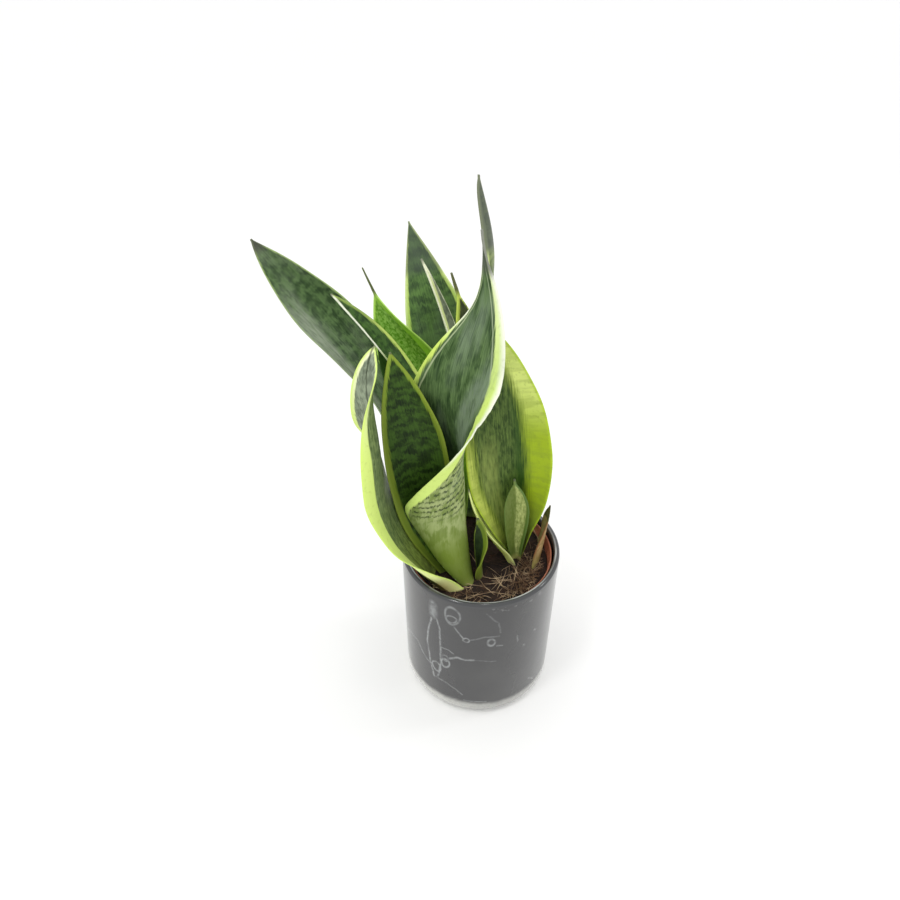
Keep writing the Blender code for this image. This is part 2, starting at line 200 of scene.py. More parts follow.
world = bpy.data.worlds.new("soft_sky")
world.use_nodes = True
sky = world.node_tree.nodes["Background"]
sky.inputs["Color"].default_value = (1.0, 1.0, 1.0, 1.0)
sky.inputs["Strength"].default_value = SKY_STRENGTH
scene.world = world
print("floor is", round(2 * FLOOR_REACH), "m wide, sky strength", SKY_STRENGTH)

# %% Hang three soft lamps
LAMP_TARGET = Vector((0, 0, 0.2))


def hang_lamp(name, place, size, power):
    """A square lamp that looks at the middle of the plant."""
    data = bpy.data.lights.new(name, "AREA")
    data.shape = "SQUARE"
    data.size = size
    data.energy = power
    lamp = bpy.data.objects.new(name, data)
    lamp.location = place
    lamp.rotation_euler = (LAMP_TARGET - Vector(place)).to_track_quat("-Z", "Y").to_euler()
    scene.collection.objects.link(lamp)


hang_lamp("key", (-0.5, -0.5, 1.7), 0.22, 3.6)
hang_lamp("window", (1.1, 0.3, 1.3), 0.2, 2.0)
hang_lamp("glint", (0.15, -0.2, 1.9), 0.12, 0.8)

# %% [markdown]
# ## Mesh helpers
# Pots are turned on a wheel, so their shape is one profile carried round the axis. Blender has a Screw
# modifier for that, but a short function that makes the rings itself gives full control over the corners,
# and the same function serves both pots and the potting mix.

# %% Helpers for turned pieces


def make_piece(name, points, faces, material, node):
    """A smooth mesh that rides on the part. If node names a solid, it stands in that solid's place."""
    mesh = bpy.data.meshes.new(name)
    mesh.from_pydata([tuple(p) for p in points], [], [tuple(f) for f in faces])
    mesh.update()
    mesh.materials.append(material)
    mesh.shade_smooth()
    piece = bpy.data.objects.new(name, mesh)
    scene.collection.objects.link(piece)
    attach(piece, "root")
    if node:
        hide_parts(node)
    return piece


ON_AXIS = 1e-7


def turned(profile, segments):
    """Points and faces of a closed profile of (radius, height) pairs, from the axis round to the axis."""
    points = []
    rings = []
    for radius, height in profile:
        count = 1 if radius < ON_AXIS else segments
        rings.append(list(range(len(points), len(points) + count)))
        for k in range(count):
            angle = 2 * math.pi * k / segments + math.pi / 2
            points.append((radius * math.cos(angle), radius * math.sin(angle), height))
    faces = []
    for low, high in zip(rings, rings[1:]):
        for k in range(segments):
            n = (k + 1) % segments
            if len(low) == 1:
                faces.append((low[0], high[n], high[k]))
            elif len(high) == 1:
                faces.append((low[k], low[n], high[0]))
            else:
                faces.append((low[k], low[n], high[n], high[k]))
    return points, faces


def arc(centre, radius, start, end, steps):
    """Profile points of a round, angles in degrees."""
    turn = [math.radians(start + (end - start) * k / steps) for k in range(steps + 1)]
    return [(centre[0] + radius * math.cos(a), centre[1] + radius * math.sin(a)) for a in turn]


def straight(start, end, steps):
    """Evenly spaced profile points after start, up to end."""
    return [(start[0] + (end[0] - start[0]) * k / steps, start[1] + (end[1] - start[1]) * k / steps)
            for k in range(1, steps + 1)]


pot_low, pot_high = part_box("cover_pot")
print("cover pot is", round(pot_high.x * 2000), "mm across and", round(pot_high.z * 1000), "mm high")

# %% [markdown]
# ## Glaze with pale veins
# The cover pot is stoneware under a dark, glossy glaze. Pale veins run over its front left: a tall narrow
# loop, a few bubble rings and thin lines that trail away. On the real pot they are drops of pale glaze that
# spread on the dark one. They could be painted on a picture and wrapped round the pot. Here each ring and
# line is a short formula instead: the distance from a point on the pot to the ring or line, turned into a
# soft stroke. The distances are measured on the unrolled wall, in millimetres round the pot and up from
# its foot, and a little noise makes the strokes waver.

# %% Mix the dark glaze
glaze = Recipe("dark_glaze", 0.16, Coat_Weight=0.25, Coat_Roughness=0.06)
pot_place = glaze.place()
pot_x, pot_y, pot_z = glaze.parts(pot_place)
wall_radius_mm = pot_high.x * 1000
turn_angle = glaze.math("ARCTAN2", pot_x, glaze.math("MULTIPLY", pot_y, -1.0))
round_mm = glaze.math("MULTIPLY", turn_angle, wall_radius_mm)
up_mm = glaze.math("MULTIPLY", pot_z, 1000.0)
sway = glaze.noise(pot_place, 60.0, 2.0)
sway_mm = glaze.math("MULTIPLY_ADD", sway, 3.0, -1.5)
sway_two = glaze.math("MULTIPLY_ADD", glaze.noise(pot_place, 95.0, 2.0), 3.0, -1.5)
vein_x = glaze.math("ADD", round_mm, sway_mm)
vein_y = glaze.math("ADD", up_mm, sway_two)
print("the unrolled wall is", round(2 * math.pi * wall_radius_mm), "mm round")

# %% Helpers for rings and lines


def ring_distance(centre, wide, tall):
    """Distance in millimetres to an oval ring, from half its width and half its height."""
    dx = glaze.math("DIVIDE", glaze.math("SUBTRACT", vein_x, centre[0]), wide)
    dy = glaze.math("DIVIDE", glaze.math("SUBTRACT", vein_y, centre[1]), tall)
    size = glaze.node("ShaderNodeVectorMath", out=1, operation="LENGTH", inputs={0: glaze.vector(dx, dy)})
    return glaze.math("MULTIPLY", glaze.math("ABSOLUTE", glaze.math("SUBTRACT", size, 1.0)), min(wide, tall))


def line_distance(start, end):
    """Distance in millimetres to a straight stroke between two points."""
    ax, ay = start
    bx, by = end[0] - ax, end[1] - ay
    long = bx * bx + by * by
    dx = glaze.math("SUBTRACT", vein_x, ax)
    dy = glaze.math("SUBTRACT", vein_y, ay)
    along = glaze.math("MULTIPLY_ADD", dx, bx / long, glaze.math("MULTIPLY", dy, by / long), clamp=True)
    rx = glaze.math("SUBTRACT", dx, glaze.math("MULTIPLY", along, bx))
    ry = glaze.math("SUBTRACT", dy, glaze.math("MULTIPLY", along, by))
    return glaze.node("ShaderNodeVectorMath", out=1, operation="LENGTH", inputs={0: glaze.vector(rx, ry)})


def stroke(distance, half_width, strength):
    """A soft stroke of about that half width, as strong as strength along its middle."""
    return glaze.step(distance, half_width * 0.1, half_width * 1.6, strength, 0.0)


print("helpers for the veins:", [f.__name__ for f in (ring_distance, line_distance, stroke)])

# %% [markdown]
# ### The veins, one by one
# Each place below was read off the real pot as millimetres round the wall from its front, and millimetres
# up from its foot. The sides and the back can't be seen, so the last few trails, beyond 90 mm round, are
# made up in the same manner. All strokes are joined by taking the strongest at each place.

# %% Draw the veins on the glaze
strokes = []
rings_on_pot = [
    # centre round and up, half width, half height, half stroke, strength
    ((-32.9, 51.6), 4.1, 5.8, 0.8, 0.5),
    ((-24.8, 61.4), 3.5, 5.3, 0.8, 0.5),
    ((-25.2, 67.7), 2.4, 3.5, 0.7, 0.35),
    ((-19.2, 121.6), 5.8, 9.4, 0.8, 0.36),
    ((-20.0, 117.9), 4.2, 3.6, 0.7, 0.35),
    ((-7.7, 97.8), 2.3, 2.4, 0.7, 0.5),
    ((10.7, 95.9), 2.7, 3.9, 0.8, 0.4),
]
for centre, wide, tall, half, strength in rings_on_pot:
    strokes.append(stroke(ring_distance(centre, wide, tall), half, strength))
trails_on_pot = [
    # half stroke, strength, then the places that the trail runs through
    (3.4, 0.4, (-35.2, 125.7), (-35.5, 113)),
    (0.9, 0.5, (-37.5, 109.1), (-40.4, 92.5), (-42, 77.5), (-40.1, 60), (-38, 45.9), (-35.4, 35.8)),
    (0.9, 0.45, (-32.7, 111.5), (-29.7, 100.6), (-28.9, 81.7), (-28.8, 57), (-31.9, 38.8)),
    (0.8, 0.35, (-28.6, 80), (-21.6, 80), (-17.9, 76.9)),
    (1.1, 0.45, (-21.6, 69.2), (-14.2, 73.6), (-8.2, 73), (-2.4, 74.2)),
    (0.7, 0.15, (-2.4, 74.2), (15.6, 71.9)),
    (0.7, 0.4, (-17, 110), (-9.4, 98.6)),
    (0.7, 0.2, (-5.9, 98.3), (5.9, 102.4), (16.5, 102.8)),
    (0.8, 0.3, (15.5, 91.3), (19.5, 90.1)),
    (0.7, 0.14, (6.5, 129), (15.8, 118.1), (17.7, 106.3)),
    (1.5, 0.8, (-84.9, 45.8), (-74, 57)),
    (0.8, 0.45, (-74, 57), (-67, 62.6), (-54.4, 65.2), (-46.8, 56.1), (-40.3, 50.7)),
    (0.9, 0.4, (-33, 36.6), (-24.4, 36.1)),
    (0.8, 0.25, (-24.4, 36.1), (-15.8, 31.3), (-10.5, 25.1)),
    (1.0, 0.4, (49.1, 91.8), (50.1, 90.4)),
    (0.8, 0.25, (32, 95.9), (32.5, 88.7)),
    (0.9, 0.25, (38.7, 81), (39.7, 80)),
    (0.8, 0.35, (49, 28), (55.4, 21.3)),
    (0.5, 0.4, (-8.7, 18.6), (10.3, 18.6)),
    (0.8, 0.4, (98, 104), (112, 88), (121, 70), (119, 52), (128, 38)),
    (0.8, 0.35, (121, 70), (139, 61), (150, 44)),
    (0.8, 0.35, (170, 120), (166, 101), (176, 84), (171, 66)),
    (0.8, 0.35, (-120, 112), (-131, 92), (-128, 71), (-139, 55)),
]
for half, strength, *places in trails_on_pot:
    for start, end in zip(places, places[1:]):
        strokes.append(stroke(line_distance(start, end), half, strength))
veins = strokes[0]
for one in strokes[1:]:
    veins = glaze.math("MAXIMUM", veins, one)
broken = glaze.step(glaze.noise(pot_place, 200.0, 3.0, 0.6), 0.34, 0.6, 0.35, 1.0)
on_wall = glaze.step(up_mm, 134.0, 136.0, 1.0, 0.0)
veins = glaze.math("MULTIPLY", glaze.math("MULTIPLY", veins, broken), on_wall)
print("strokes on the glaze:", len(strokes))

# %% [markdown]
# ### The body of the glaze
# The glaze is not one grey. It is a little cloudy, a few spots are worn under the lip, a pale band on its
# foot is a painted reflection of the pale floor, and a thin light line on the lip's crest is a painted
# highlight. Each of these is a mask made of the height on the pot and of noise, laid over the one before.
# The veins come last, since they lie on top.

# %% Finish the glaze
LIP_CREST_MM = 58.9
cloud = glaze.step(glaze.noise(pot_place, 14.0, 3.0, 0.55), 0.35, 0.7)
fine = glaze.noise(pot_place, 420.0, 3.0, 0.6)
body = glaze.mix(cloud, rgb(54, 54, 55), rgb(66, 66, 66))
rim_dark = glaze.step(up_mm, 133.5, 136.0)
body = glaze.mix(rim_dark, body, rgb(60, 61, 63))
# painted reflection: the pale floor seen in the glossy rounded foot, as a pale band near the bottom
foot_low = glaze.step(vein_y, 12.0, 19.0, 1.0, 0.0)
painted_foot_reflection = glaze.math("MULTIPLY", foot_low, glaze.step(fine, 0.3, 0.65, 0.8, 1.0))
painted_foot_reflection = glaze.math("MULTIPLY", painted_foot_reflection, glaze.step(round_mm, -50.0, 30.0, 0.9, 0.6))
body = glaze.mix(painted_foot_reflection, body, rgb(210, 210, 204))
wear_high = glaze.step(up_mm, 133.6, 135.2, 1.0, 0.0)
wear_band = glaze.math("MULTIPLY", glaze.step(up_mm, 128.5, 131.5), wear_high)
wear_spots = glaze.step(glaze.noise(pot_place, 150.0, 4.0, 0.7), 0.52, 0.62)
wear_left = glaze.step(round_mm, 5.0, 14.0)
wear_side = glaze.math("MULTIPLY", wear_left, glaze.step(round_mm, 46.0, 58.0, 1.0, 0.0))
wear = glaze.math("MULTIPLY", glaze.math("MULTIPLY", wear_band, wear_spots), wear_side)
body = glaze.mix(glaze.math("MULTIPLY", wear, 0.35), body, rgb(150, 150, 150))
# painted highlight: a thin light line along the lip's crest, standing in for glints
flat_place = glaze.vector(pot_x, pot_y)
from_axis = glaze.node("ShaderNodeVectorMath", out=1, operation="LENGTH", inputs={0: flat_place})
crest = glaze.math("ABSOLUTE", glaze.math("MULTIPLY_ADD", from_axis, 1000.0, -LIP_CREST_MM))
painted_lip_highlight = glaze.math("MULTIPLY", glaze.step(crest, 0.2, 0.9, 1.0, 0.0), glaze.step(up_mm, 136.8, 137.4))
painted_lip_highlight = glaze.math("MULTIPLY", painted_lip_highlight, glaze.step(glaze.noise(pot_place, 26.0), 0.42, 0.6, 0.25, 0.95))
body = glaze.mix(painted_lip_highlight, body, rgb(216, 218, 218))
glaze.colour(glaze.mix(veins, body, rgb(186, 190, 190)))
wall_rough = glaze.math("MULTIPLY_ADD", cloud, 0.08, glaze.math("MULTIPLY_ADD", veins, 0.2, 0.14))
glaze.rough(glaze.math("MULTIPLY", wall_rough, glaze.step(up_mm, 133.5, 136.0, 1.0, 0.4)))
unevenness = glaze.math("MULTIPLY_ADD", fine, 0.06, glaze.math("MULTIPLY", sway, 0.8))
glaze.bump(unevenness, 0.0004, 0.35)
print("glaze has", len(glaze.tree.nodes), "nodes")

# %% [markdown]
# ## The cover pot
# A straight wall, a softly rounded foot and a rounded lip: the shape of a pot that was cast in a mould. The
# lip and the foot are where its reflections bend, so they get the most rings. Everything is in the same
# place as the solid that it stands for.

# %% Turn the cover pot
outside = pot_high.x
tall = pot_high.z
WALL = 4.5 * MM
LIP_ROUND = 2.2 * MM
FOOT_ROUND = 11.0 * MM
FLOOR = 7.0 * MM
FLOOR_ROUND = 5.0 * MM
inside = outside - WALL
lip_low = tall - LIP_ROUND
profile = [(0.0, 0.0), (outside * 0.4, 0.0)]
profile += arc((outside - FOOT_ROUND, FOOT_ROUND), FOOT_ROUND, -90, 0, 14)
profile += straight((outside, FOOT_ROUND), (outside, lip_low), 24)
profile += arc((outside - LIP_ROUND, lip_low), LIP_ROUND, 0, 90, 9)[1:]
profile += arc((inside + LIP_ROUND, lip_low), LIP_ROUND, 90, 180, 9)
profile += straight((inside, lip_low), (inside, FLOOR + FLOOR_ROUND), 12)
profile += arc((inside - FLOOR_ROUND, FLOOR + FLOOR_ROUND), FLOOR_ROUND, 0, -90, 5)[1:]
profile += [(0.0, FLOOR)]
points, faces = turned(profile, 180)
make_piece("cover_pot_glazed", points, faces, glaze.material, "cover_pot")
print("cover pot:", len(faces), "faces")

# %% [markdown]
# ## The growing pot
# Inside stands the thin plastic pot that the plant was raised in. Only its terracotta rim shows, a few
# millimetres below the lip, dusty with soil. It is turned in the same way, with the small step under its rim
# that lets such pots hang in a tray.

# %% Mix the terracotta plastic
terracotta = Recipe("terracotta_plastic", 0.5)
where = terracotta.place()
dust = terracotta.step(terracotta.noise(where, 160.0, 4.0, 0.65), 0.42, 0.68)
height = terracotta.math("MULTIPLY", terracotta.parts(where)[2], 1000.0)
low_dust = terracotta.step(height, 122.0, 130.0, 1.0, 0.25)
base = terracotta.mix(terracotta.noise(where, 30.0), rgb(206, 132, 104), rgb(180, 106, 80))
terracotta.colour(terracotta.mix(terracotta.math("MULTIPLY", dust, low_dust), base, rgb(70, 42, 28)))
terracotta.rough(terracotta.step(dust, 0.0, 1.0, 0.4, 0.8))
terracotta.bump(terracotta.noise(where, 700.0, 2.0), 0.0002, 0.4)
print("terracotta has", len(terracotta.tree.nodes), "nodes")

# %% Turn the growing pot
grow_low, grow_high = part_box("nursery_pot")
STEP = 1.0 * MM
GROW_FOOT = 47.0 * MM
RIM_DROP = 6.0 * MM
GROW_WALL = 1.2 * MM
FOOT_BEVEL = 3.0 * MM
RIM_ROUND = 0.6 * MM
top, low, rim = grow_high.z, grow_low.z, grow_high.x
neck = rim - STEP
drop = top - RIM_DROP
profile = [(0.0, low), (GROW_FOOT - FOOT_BEVEL, low), (GROW_FOOT, low + FOOT_BEVEL)]
profile += straight((GROW_FOOT, low + FOOT_BEVEL), (neck, drop), 6)
profile += [(rim - 0.2 * MM, drop + 0.4 * MM), (rim, drop + STEP), (rim, top - RIM_ROUND)]
profile += arc((rim - RIM_ROUND, top - RIM_ROUND), RIM_ROUND, 0, 180, 6)[1:]
profile += [(rim - GROW_WALL, drop), (neck - GROW_WALL, drop - STEP)]
profile += straight((neck - GROW_WALL, drop - STEP), (GROW_FOOT - GROW_WALL, low + FOOT_BEVEL + 0.5 * MM), 4)
profile += [(GROW_FOOT - FOOT_BEVEL - GROW_WALL / 2, low + GROW_WALL), (0.0, low + GROW_WALL)]
points, faces = turned(profile, 144)
make_piece("growing_pot", points, faces, terracotta.material, "nursery_pot")
print("growing pot rim stands", round((pot_high.z - top) * 1000, 1), "mm below the lip")

# %% [markdown]
# ## The potting mix
# The mix is dark peat with coir. It has three scales: a gentle swell, crumbs of a few millimetres and fine
# grit. The swell and the crumbs are moved points, because their shadows fall in the right places then. The
# grit is left to the material.

# %% Helpers for the surface of the mix
SOIL_TOP = 124.0
SOIL_SINK = 0.6
SWELL_RADIUS = 56.2


def soil_level(x, y):
    """Height of the mix in millimetres at a place in millimetres, without the crumbs."""
    r = math.hypot(x, y) / SWELL_RADIUS
    swell = math.sin(x / 9 + 0.6) * math.cos(y / 11 - 0.4)
    return SOIL_TOP + 1.2 * swell * (1 - r ** 4) + 1.0 * (1 - r * r)


def crumbs(x, y):
    """How far the crumbs stand above that, in millimetres."""
    lumps = noise.voronoi(Vector((x * 0.22, y * 0.22, 0.3)))[0]
    coarse = 1.9 * max(0.0, 0.62 - lumps[0])
    small = noise.voronoi(Vector((x * 0.55, y * 0.55, 4.1)))[0]
    grit = noise.fractal(Vector((x * 0.9, y * 0.9, 2.0)), 1.0, 2.0, 3)
    return coarse + 0.8 * max(0.0, 0.5 - small[0]) + 0.35 * grit


print("mix stands at", round(soil_level(0, 0), 1), "mm in the middle")

# %% Shape the potting mix
MIX_TOP_RADIUS = 53.3
MIX_FOOT_RADIUS = 45.3
FLAT_FOOT_RADIUS = 42.0
FOOT_RISE = 3.5
RINGS_ON_TOP = 70
FADE_TO_EDGE = 2.0
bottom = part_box("soil")[0].z / MM
profile = [(0.0, bottom), (FLAT_FOOT_RADIUS, bottom), (MIX_FOOT_RADIUS, bottom + FOOT_RISE)]
profile += [(MIX_TOP_RADIUS, SOIL_TOP - 1)]
profile += [(MIX_TOP_RADIUS * math.sqrt(k / RINGS_ON_TOP), SOIL_TOP) for k in range(RINGS_ON_TOP, 0, -1)]
profile += [(0.0, SOIL_TOP)]
points, faces = turned(profile, 150)
shaped = []
for x, y, z in points:
    if z == SOIL_TOP:
        fade = min(1.0, (MIX_TOP_RADIUS - math.hypot(x, y)) / FADE_TO_EDGE)
        z = soil_level(x, y) + crumbs(x, y) * fade - SOIL_SINK
    shaped.append((x * MM, y * MM, z * MM))
print("the mix has", len(shaped), "points")

# %% Finish the potting mix
mix = Recipe("potting_mix", 0.92)
where = mix.place()
grit = mix.noise(where, 420.0, 4.0, 0.7)
patch = mix.noise(where, 70.0, 3.0, 0.6)
earth = mix.mix(mix.step(patch, 0.35, 0.7), rgb(30, 20, 16), rgb(58, 39, 29))
earth = mix.mix(mix.step(grit, 0.58, 0.74, 0.0, 0.7), earth, rgb(104, 74, 50))
mix.colour(earth)
mix.bump(grit, 0.0012, 0.8)
make_piece("potting_mix", shaped, faces, mix.material, "soil")
print("potting mix:", len(faces), "faces")

# %% [markdown]
# ## Coir fibres
# Straw-coloured coir fibres lie over the mix, most of all at the right. Each is a thin, nearly straight,
# three-sided thread that follows the ground, and a few stick up from it. Their places come from a seeded
# draw, so that every run lays the same ones.

# %% A helper for one thread
SIDES = 3


def thread(path, radius):
    """Points and faces of a thin closed thread along a path, thinner at both ends."""
    points = []
    count = len(path)
    for i, here in enumerate(path):
        ahead = (path[min(i + 1, count - 1)] - path[max(i - 1, 0)]).normalized()
        first = ahead.orthogonal().normalized()
        second = ahead.cross(first)
        size = radius * (0.35 + 0.65 * math.sin(math.pi * (i + 0.5) / count))
        for k in range(SIDES):
            angle = 2 * math.pi * k / SIDES
            points.append(here + (first * math.cos(angle) + second * math.sin(angle)) * size)
    faces = [tuple(range(SIDES))[::-1], tuple(range((count - 1) * SIDES, count * SIDES))]
    for i in range(count - 1):
        for k in range(SIDES):
            n = (k + 1) % SIDES
            a = i * SIDES
            faces.append((a + k, a + n, a + n + SIDES, a + k + SIDES))
    return points, faces


print("a thread of 7 places has", len(thread([Vector((k, 0, 0)) for k in range(7)], 1)[1]), "faces")

# %% A helper that lays many threads
THREAD_STEPS = 7
FEWEST_STEPS = 4
START_WITHIN = 51.0
END_WITHIN = 52.3


def lay_threads(name, count, seed, centre, spread, long, radius, lift, material):
    """Many threads on the mix, round a centre, as one piece."""
    draw = np.random.default_rng(seed)
    points = []
    faces = []
    for _ in range(count):
        x, y = centre[0] + draw.normal(0, spread[0]), centre[1] + draw.normal(0, spread[1])
        if math.hypot(x, y) > START_WITHIN:
            continue
        turn = draw.uniform(0, 2 * math.pi)
        bend = draw.normal(0, 0.05)
        reach = draw.uniform(*long)
        tilt = draw.uniform(-0.05, 0.35) if draw.random() < 0.4 else draw.uniform(-0.05, 0.1)
        path = []
        z_lift = draw.uniform(0.2, lift)
        for i in range(THREAD_STEPS):
            if math.hypot(x, y) > END_WITHIN:
                break
            ground = soil_level(x, y) + crumbs(x, y) - SOIL_SINK
            z = ground + z_lift + tilt * reach * i / THREAD_STEPS
            path.append(Vector((x, y, z)) * MM)
            x += math.cos(turn) * reach / THREAD_STEPS
            y += math.sin(turn) * reach / THREAD_STEPS
            turn += bend + draw.normal(0, 0.04)
        if len(path) < FEWEST_STEPS:
            continue
        more, shell = thread(path, draw.uniform(*radius) * MM)
        faces += [tuple(k + len(points) for k in f) for f in shell]
        points += more
    return make_piece(name, points, faces, material, None)


print("threads start within", START_WITHIN, "mm of the pot's axis")

# %% Colour the fibres
straw = Recipe("coir", 0.7)
where = straw.place()
tone = straw.noise(where, 90.0, 1.0)
straw.colour(straw.mix(straw.step(tone, 0.35, 0.65), rgb(126, 98, 70), rgb(216, 188, 152)))
dark_straw = Recipe("dark_coir", 0.8)
where = dark_straw.place()
dark_straw.colour(dark_straw.mix(dark_straw.noise(where, 120.0), rgb(58, 38, 27), rgb(120, 84, 58)))

pale_skin = Recipe("dry_skin", 0.7)
where = pale_skin.place()
pale_skin.colour(pale_skin.mix(pale_skin.noise(where, 200.0), rgb(232, 228, 176), rgb(176, 160, 104)))

print("fibre finishes:", [recipe.material.name for recipe in (straw, dark_straw, pale_skin)])

# %% Lay the fibres in piles
fibre_piles = [
    # name, count, seed, centre, spread, lengths, radii, highest lift, material
    ("coir_all_over", 240, 11, (5, -8), (30, 28), (4, 14), (0.1, 0.2), 1.0, dark_straw),
    ("coir_under", 170, 18, (41, -17), (9, 14), (6, 16), (0.12, 0.22), 2.0, dark_straw),
    ("coir_right", 120, 12, (42, -16), (7, 14), (9, 26), (0.15, 0.27), 3.4, straw),
    ("coir_front_right", 60, 14, (33, -31), (10, 7), (9, 24), (0.15, 0.27), 2.8, straw),
    ("coir_front", 36, 13, (2, -44), (14, 3), (5, 15), (0.13, 0.24), 1.6, straw),
    ("coir_at_the_foot", 12, 17, (-9, -39), (8, 3), (7, 14), (0.2, 0.34), 1.8, straw),
    ("long_straws", 15, 15, (30, -28), (11, 10), (20, 34), (0.24, 0.36), 3.4, straw),
    ("dry_flakes", 12, 16, (-35, -32), (3.5, 2.5), (3, 7), (0.4, 0.75), 1.0, pale_skin),
]
for *pile, recipe in fibre_piles:
    pile_laid = lay_threads(*pile, recipe.material)
    print(pile_laid.name, "has", len(pile_laid.data.polygons), "faces")

# %% [markdown]
# ## How a leaf is shaped
# A snake plant leaf is a stiff blade, thick along its middle and thin at its margins. It is rolled into a
# channel at the foot and opens and twists as it climbs. Four things describe it well: how steeply its middle
# line rises, which way it leans, which way its inner face looks, and how far each half is rolled up. Each is
# given at a few even steps from foot to tip, and a smooth curve runs through them. These are the same values
# that the solids were made with, so the finer blades fall exactly on them.

# %% The leaves' shapes
# foot: place on the pot's plan. length, width: of the flat blade. widest: where along. foot_width: share
# there. rise, heading, facing, curl_left and curl_right are angles in degrees. lean: how much wider the
# right half is. wave: how far the margins ripple. spike: the share of the length that is a thin awl at the
# tip. taper: how full the blade stays near it. Lengths are in millimetres.
leaf_shapes = {
    "leaf_front_curl": dict(
        foot=(-1, -29), length=283, width=75, widest=0.45, foot_width=0.2, rise=(69, 82, 93, 86, 76, 81),
        heading=(145, 142, 62, -16, 18, 208), facing=(188, 145, 174, 222, 214, 189),
        curl_left=(75, 97, 105, 57, -19, 1), curl_right=(91, 108, 103, 58, -6, 37),
        lean=(-0.16, 0.5, -0.14, 0.06, -0.03), wave=0.5),
    "leaf_front_inner": dict(
        foot=(-13, -19), length=209, width=47, widest=0.55, foot_width=0.25, rise=(71, 78, 80),
        heading=(171, 176, 187), facing=(-110, -91, -84), curl_left=(52, 40, 25),
        curl_right=(47, 35, 25), lean=(-0.5, -0.4, -0.1, 0.05, 0.05), wave=0.3),
    "leaf_front_left": dict(
        foot=(-20, -35), length=224, width=57, widest=0.5, foot_width=0.62,
        rise=(45, 60, 76, 90, 73, 56), heading=(161, 187, 183, 132, 127, 45),
        facing=(30, 12, 2, 4, 35, 79), curl_left=(91, 68, 16, -38, -85, 22),
        curl_right=(60, 39, 2, -20, -47, 9), lean=(0, 0), wave=0.3),
    "leaf_front_low": dict(
        foot=(3, -19.5), length=77, width=17, widest=0.5, foot_width=0.4, rise=(97, 94, 97),
        heading=(18, 35, 49), facing=(167, 210, 278), curl_left=(78, 68, 41), curl_right=(93, 62, 33),
        lean=(0, 0.45, 0.45), wave=0.2, taper=2.4),
    "leaf_left_second": dict(
        foot=(-28, 7), length=245, width=32, widest=0.45, foot_width=0.3, rise=(95, 69, 48),
        heading=(149, 145, 206), facing=(-79, -20, -19), curl_left=(61, 69, 41), curl_right=(61, 46, 20),
        lean=(0, 0), wave=0.2),
    "leaf_left_long": dict(
        foot=(-37, 19.5), length=292, width=51, widest=0.57, foot_width=0.3, rise=(74, 56, 58),
        heading=(119, 158, 240), facing=(-77, -24, -36), curl_left=(70, 48, 2), curl_right=(44, 52, 54),
        lean=(0, 0), wave=0.4),
    "leaf_bright": dict(
        foot=(-24, 20), length=249, width=50, widest=0.58, foot_width=0.3, rise=(91, 70, 68),
        heading=(150, 143, 227), facing=(-70, -56, -135), curl_left=(60, 36, 22),
        curl_right=(55, 28, 50), lean=(0, 0), wave=0.2, spike=0.08),
    "leaf_back_tall": dict(
        foot=(-11, 46.5), length=264, width=59, widest=0.45, foot_width=0.3, rise=(82, 81, 73),
        heading=(154, 150, 195), facing=(-84, -61, -114), curl_left=(60, 30, 10),
        curl_right=(60, 21, 25), lean=(0, 0), wave=0.3),
    "leaf_back_narrow": dict(
        foot=(-2.5, 39.5), length=245, width=16, widest=0.5, foot_width=0.5, rise=(92, 79, 67),
        heading=(170, 155, 190), facing=(-60, -30, -30), curl_left=(60, 45, 35), curl_right=(60, 40, 30),
        lean=(0, 0), wave=0.2),
    "leaf_back_small": dict(
        foot=(9, 27), length=242, width=40, widest=0.5, foot_width=0.4, rise=(87, 88, 77, 73),
        heading=(179, 178, 175, 196), facing=(-110, -102, -97, -93), curl_left=(60, 46, 35, 29),
        curl_right=(60, 46, 35, 28), lean=(0, 0), wave=0.2, spike=0.06),
    "leaf_back_edge": dict(
        foot=(23, 37), length=300, width=22, widest=0.46, foot_width=0.4, rise=(87, 80, 77, 89, 54),
        heading=(153, 130, 138, 179, 269), facing=(177, 165, 151, 166, 113),
        curl_left=(63, 49, 23, 11, 34), curl_right=(62, 54, 40, 21, 26), lean=(0, 0), wave=0.4),
    "leaf_right_broad": dict(
        foot=(31, 8), length=213, width=64, widest=0.45, foot_width=0.2, rise=(80, 85, 77),
        heading=(165, 185, 195), facing=(-85, -90, -90), curl_left=(140, 25, 10),
        curl_right=(140, 30, 10), lean=(0, 0), wave=0.4),
    "leaf_right_low": dict(
        foot=(27.5, -5), length=102, width=20, widest=0.49, foot_width=0.38, rise=(77, 59, 67, 82),
        heading=(166, 192, 198, 192), facing=(35, 22, 17, 8), curl_left=(50, 34, 14, 1),
        curl_right=(58, 40, 19, 7), lean=(0, 0), wave=0),
    "pup": dict(
        foot=(31.5, 1), length=97, width=21, widest=0.68, foot_width=0.3, rise=(76, 89, 80),
        heading=(187, 197, 203), facing=(-86, -85, -91), curl_left=(103, 67, 26),
        curl_right=(100, 62, 17), lean=(0, 0), wave=0, spike=0.04),
    "dry_sheath": dict(
        foot=(42.5, -4.5), length=63, width=37, widest=0.39, foot_width=0.6, rise=(56, 71, 82),
        heading=(55, 66, 56), facing=(177, 169, 199), curl_left=(47, 26, 33), curl_right=(28, 21, 29),
        lean=(0, 0), wave=0, taper=1.2),
}
FOOT_LEVEL = 110.0
BLADE_MIDDLE = 2.4
BLADE_MARGIN = 0.9
print("leaves:", len(leaf_shapes))

# %% [markdown]
# ### From values to rows of points
# The middle line climbs in small steps, each in the direction that rise and heading give. At every step a
# row of points is bent out of the flat blade to both sides, like a strip of paper round a barrel. Bending
# keeps each row as long as the flat blade is wide there, so a rolled leaf is as wide as it would be when
# laid flat.

# %% Helpers for smooth values


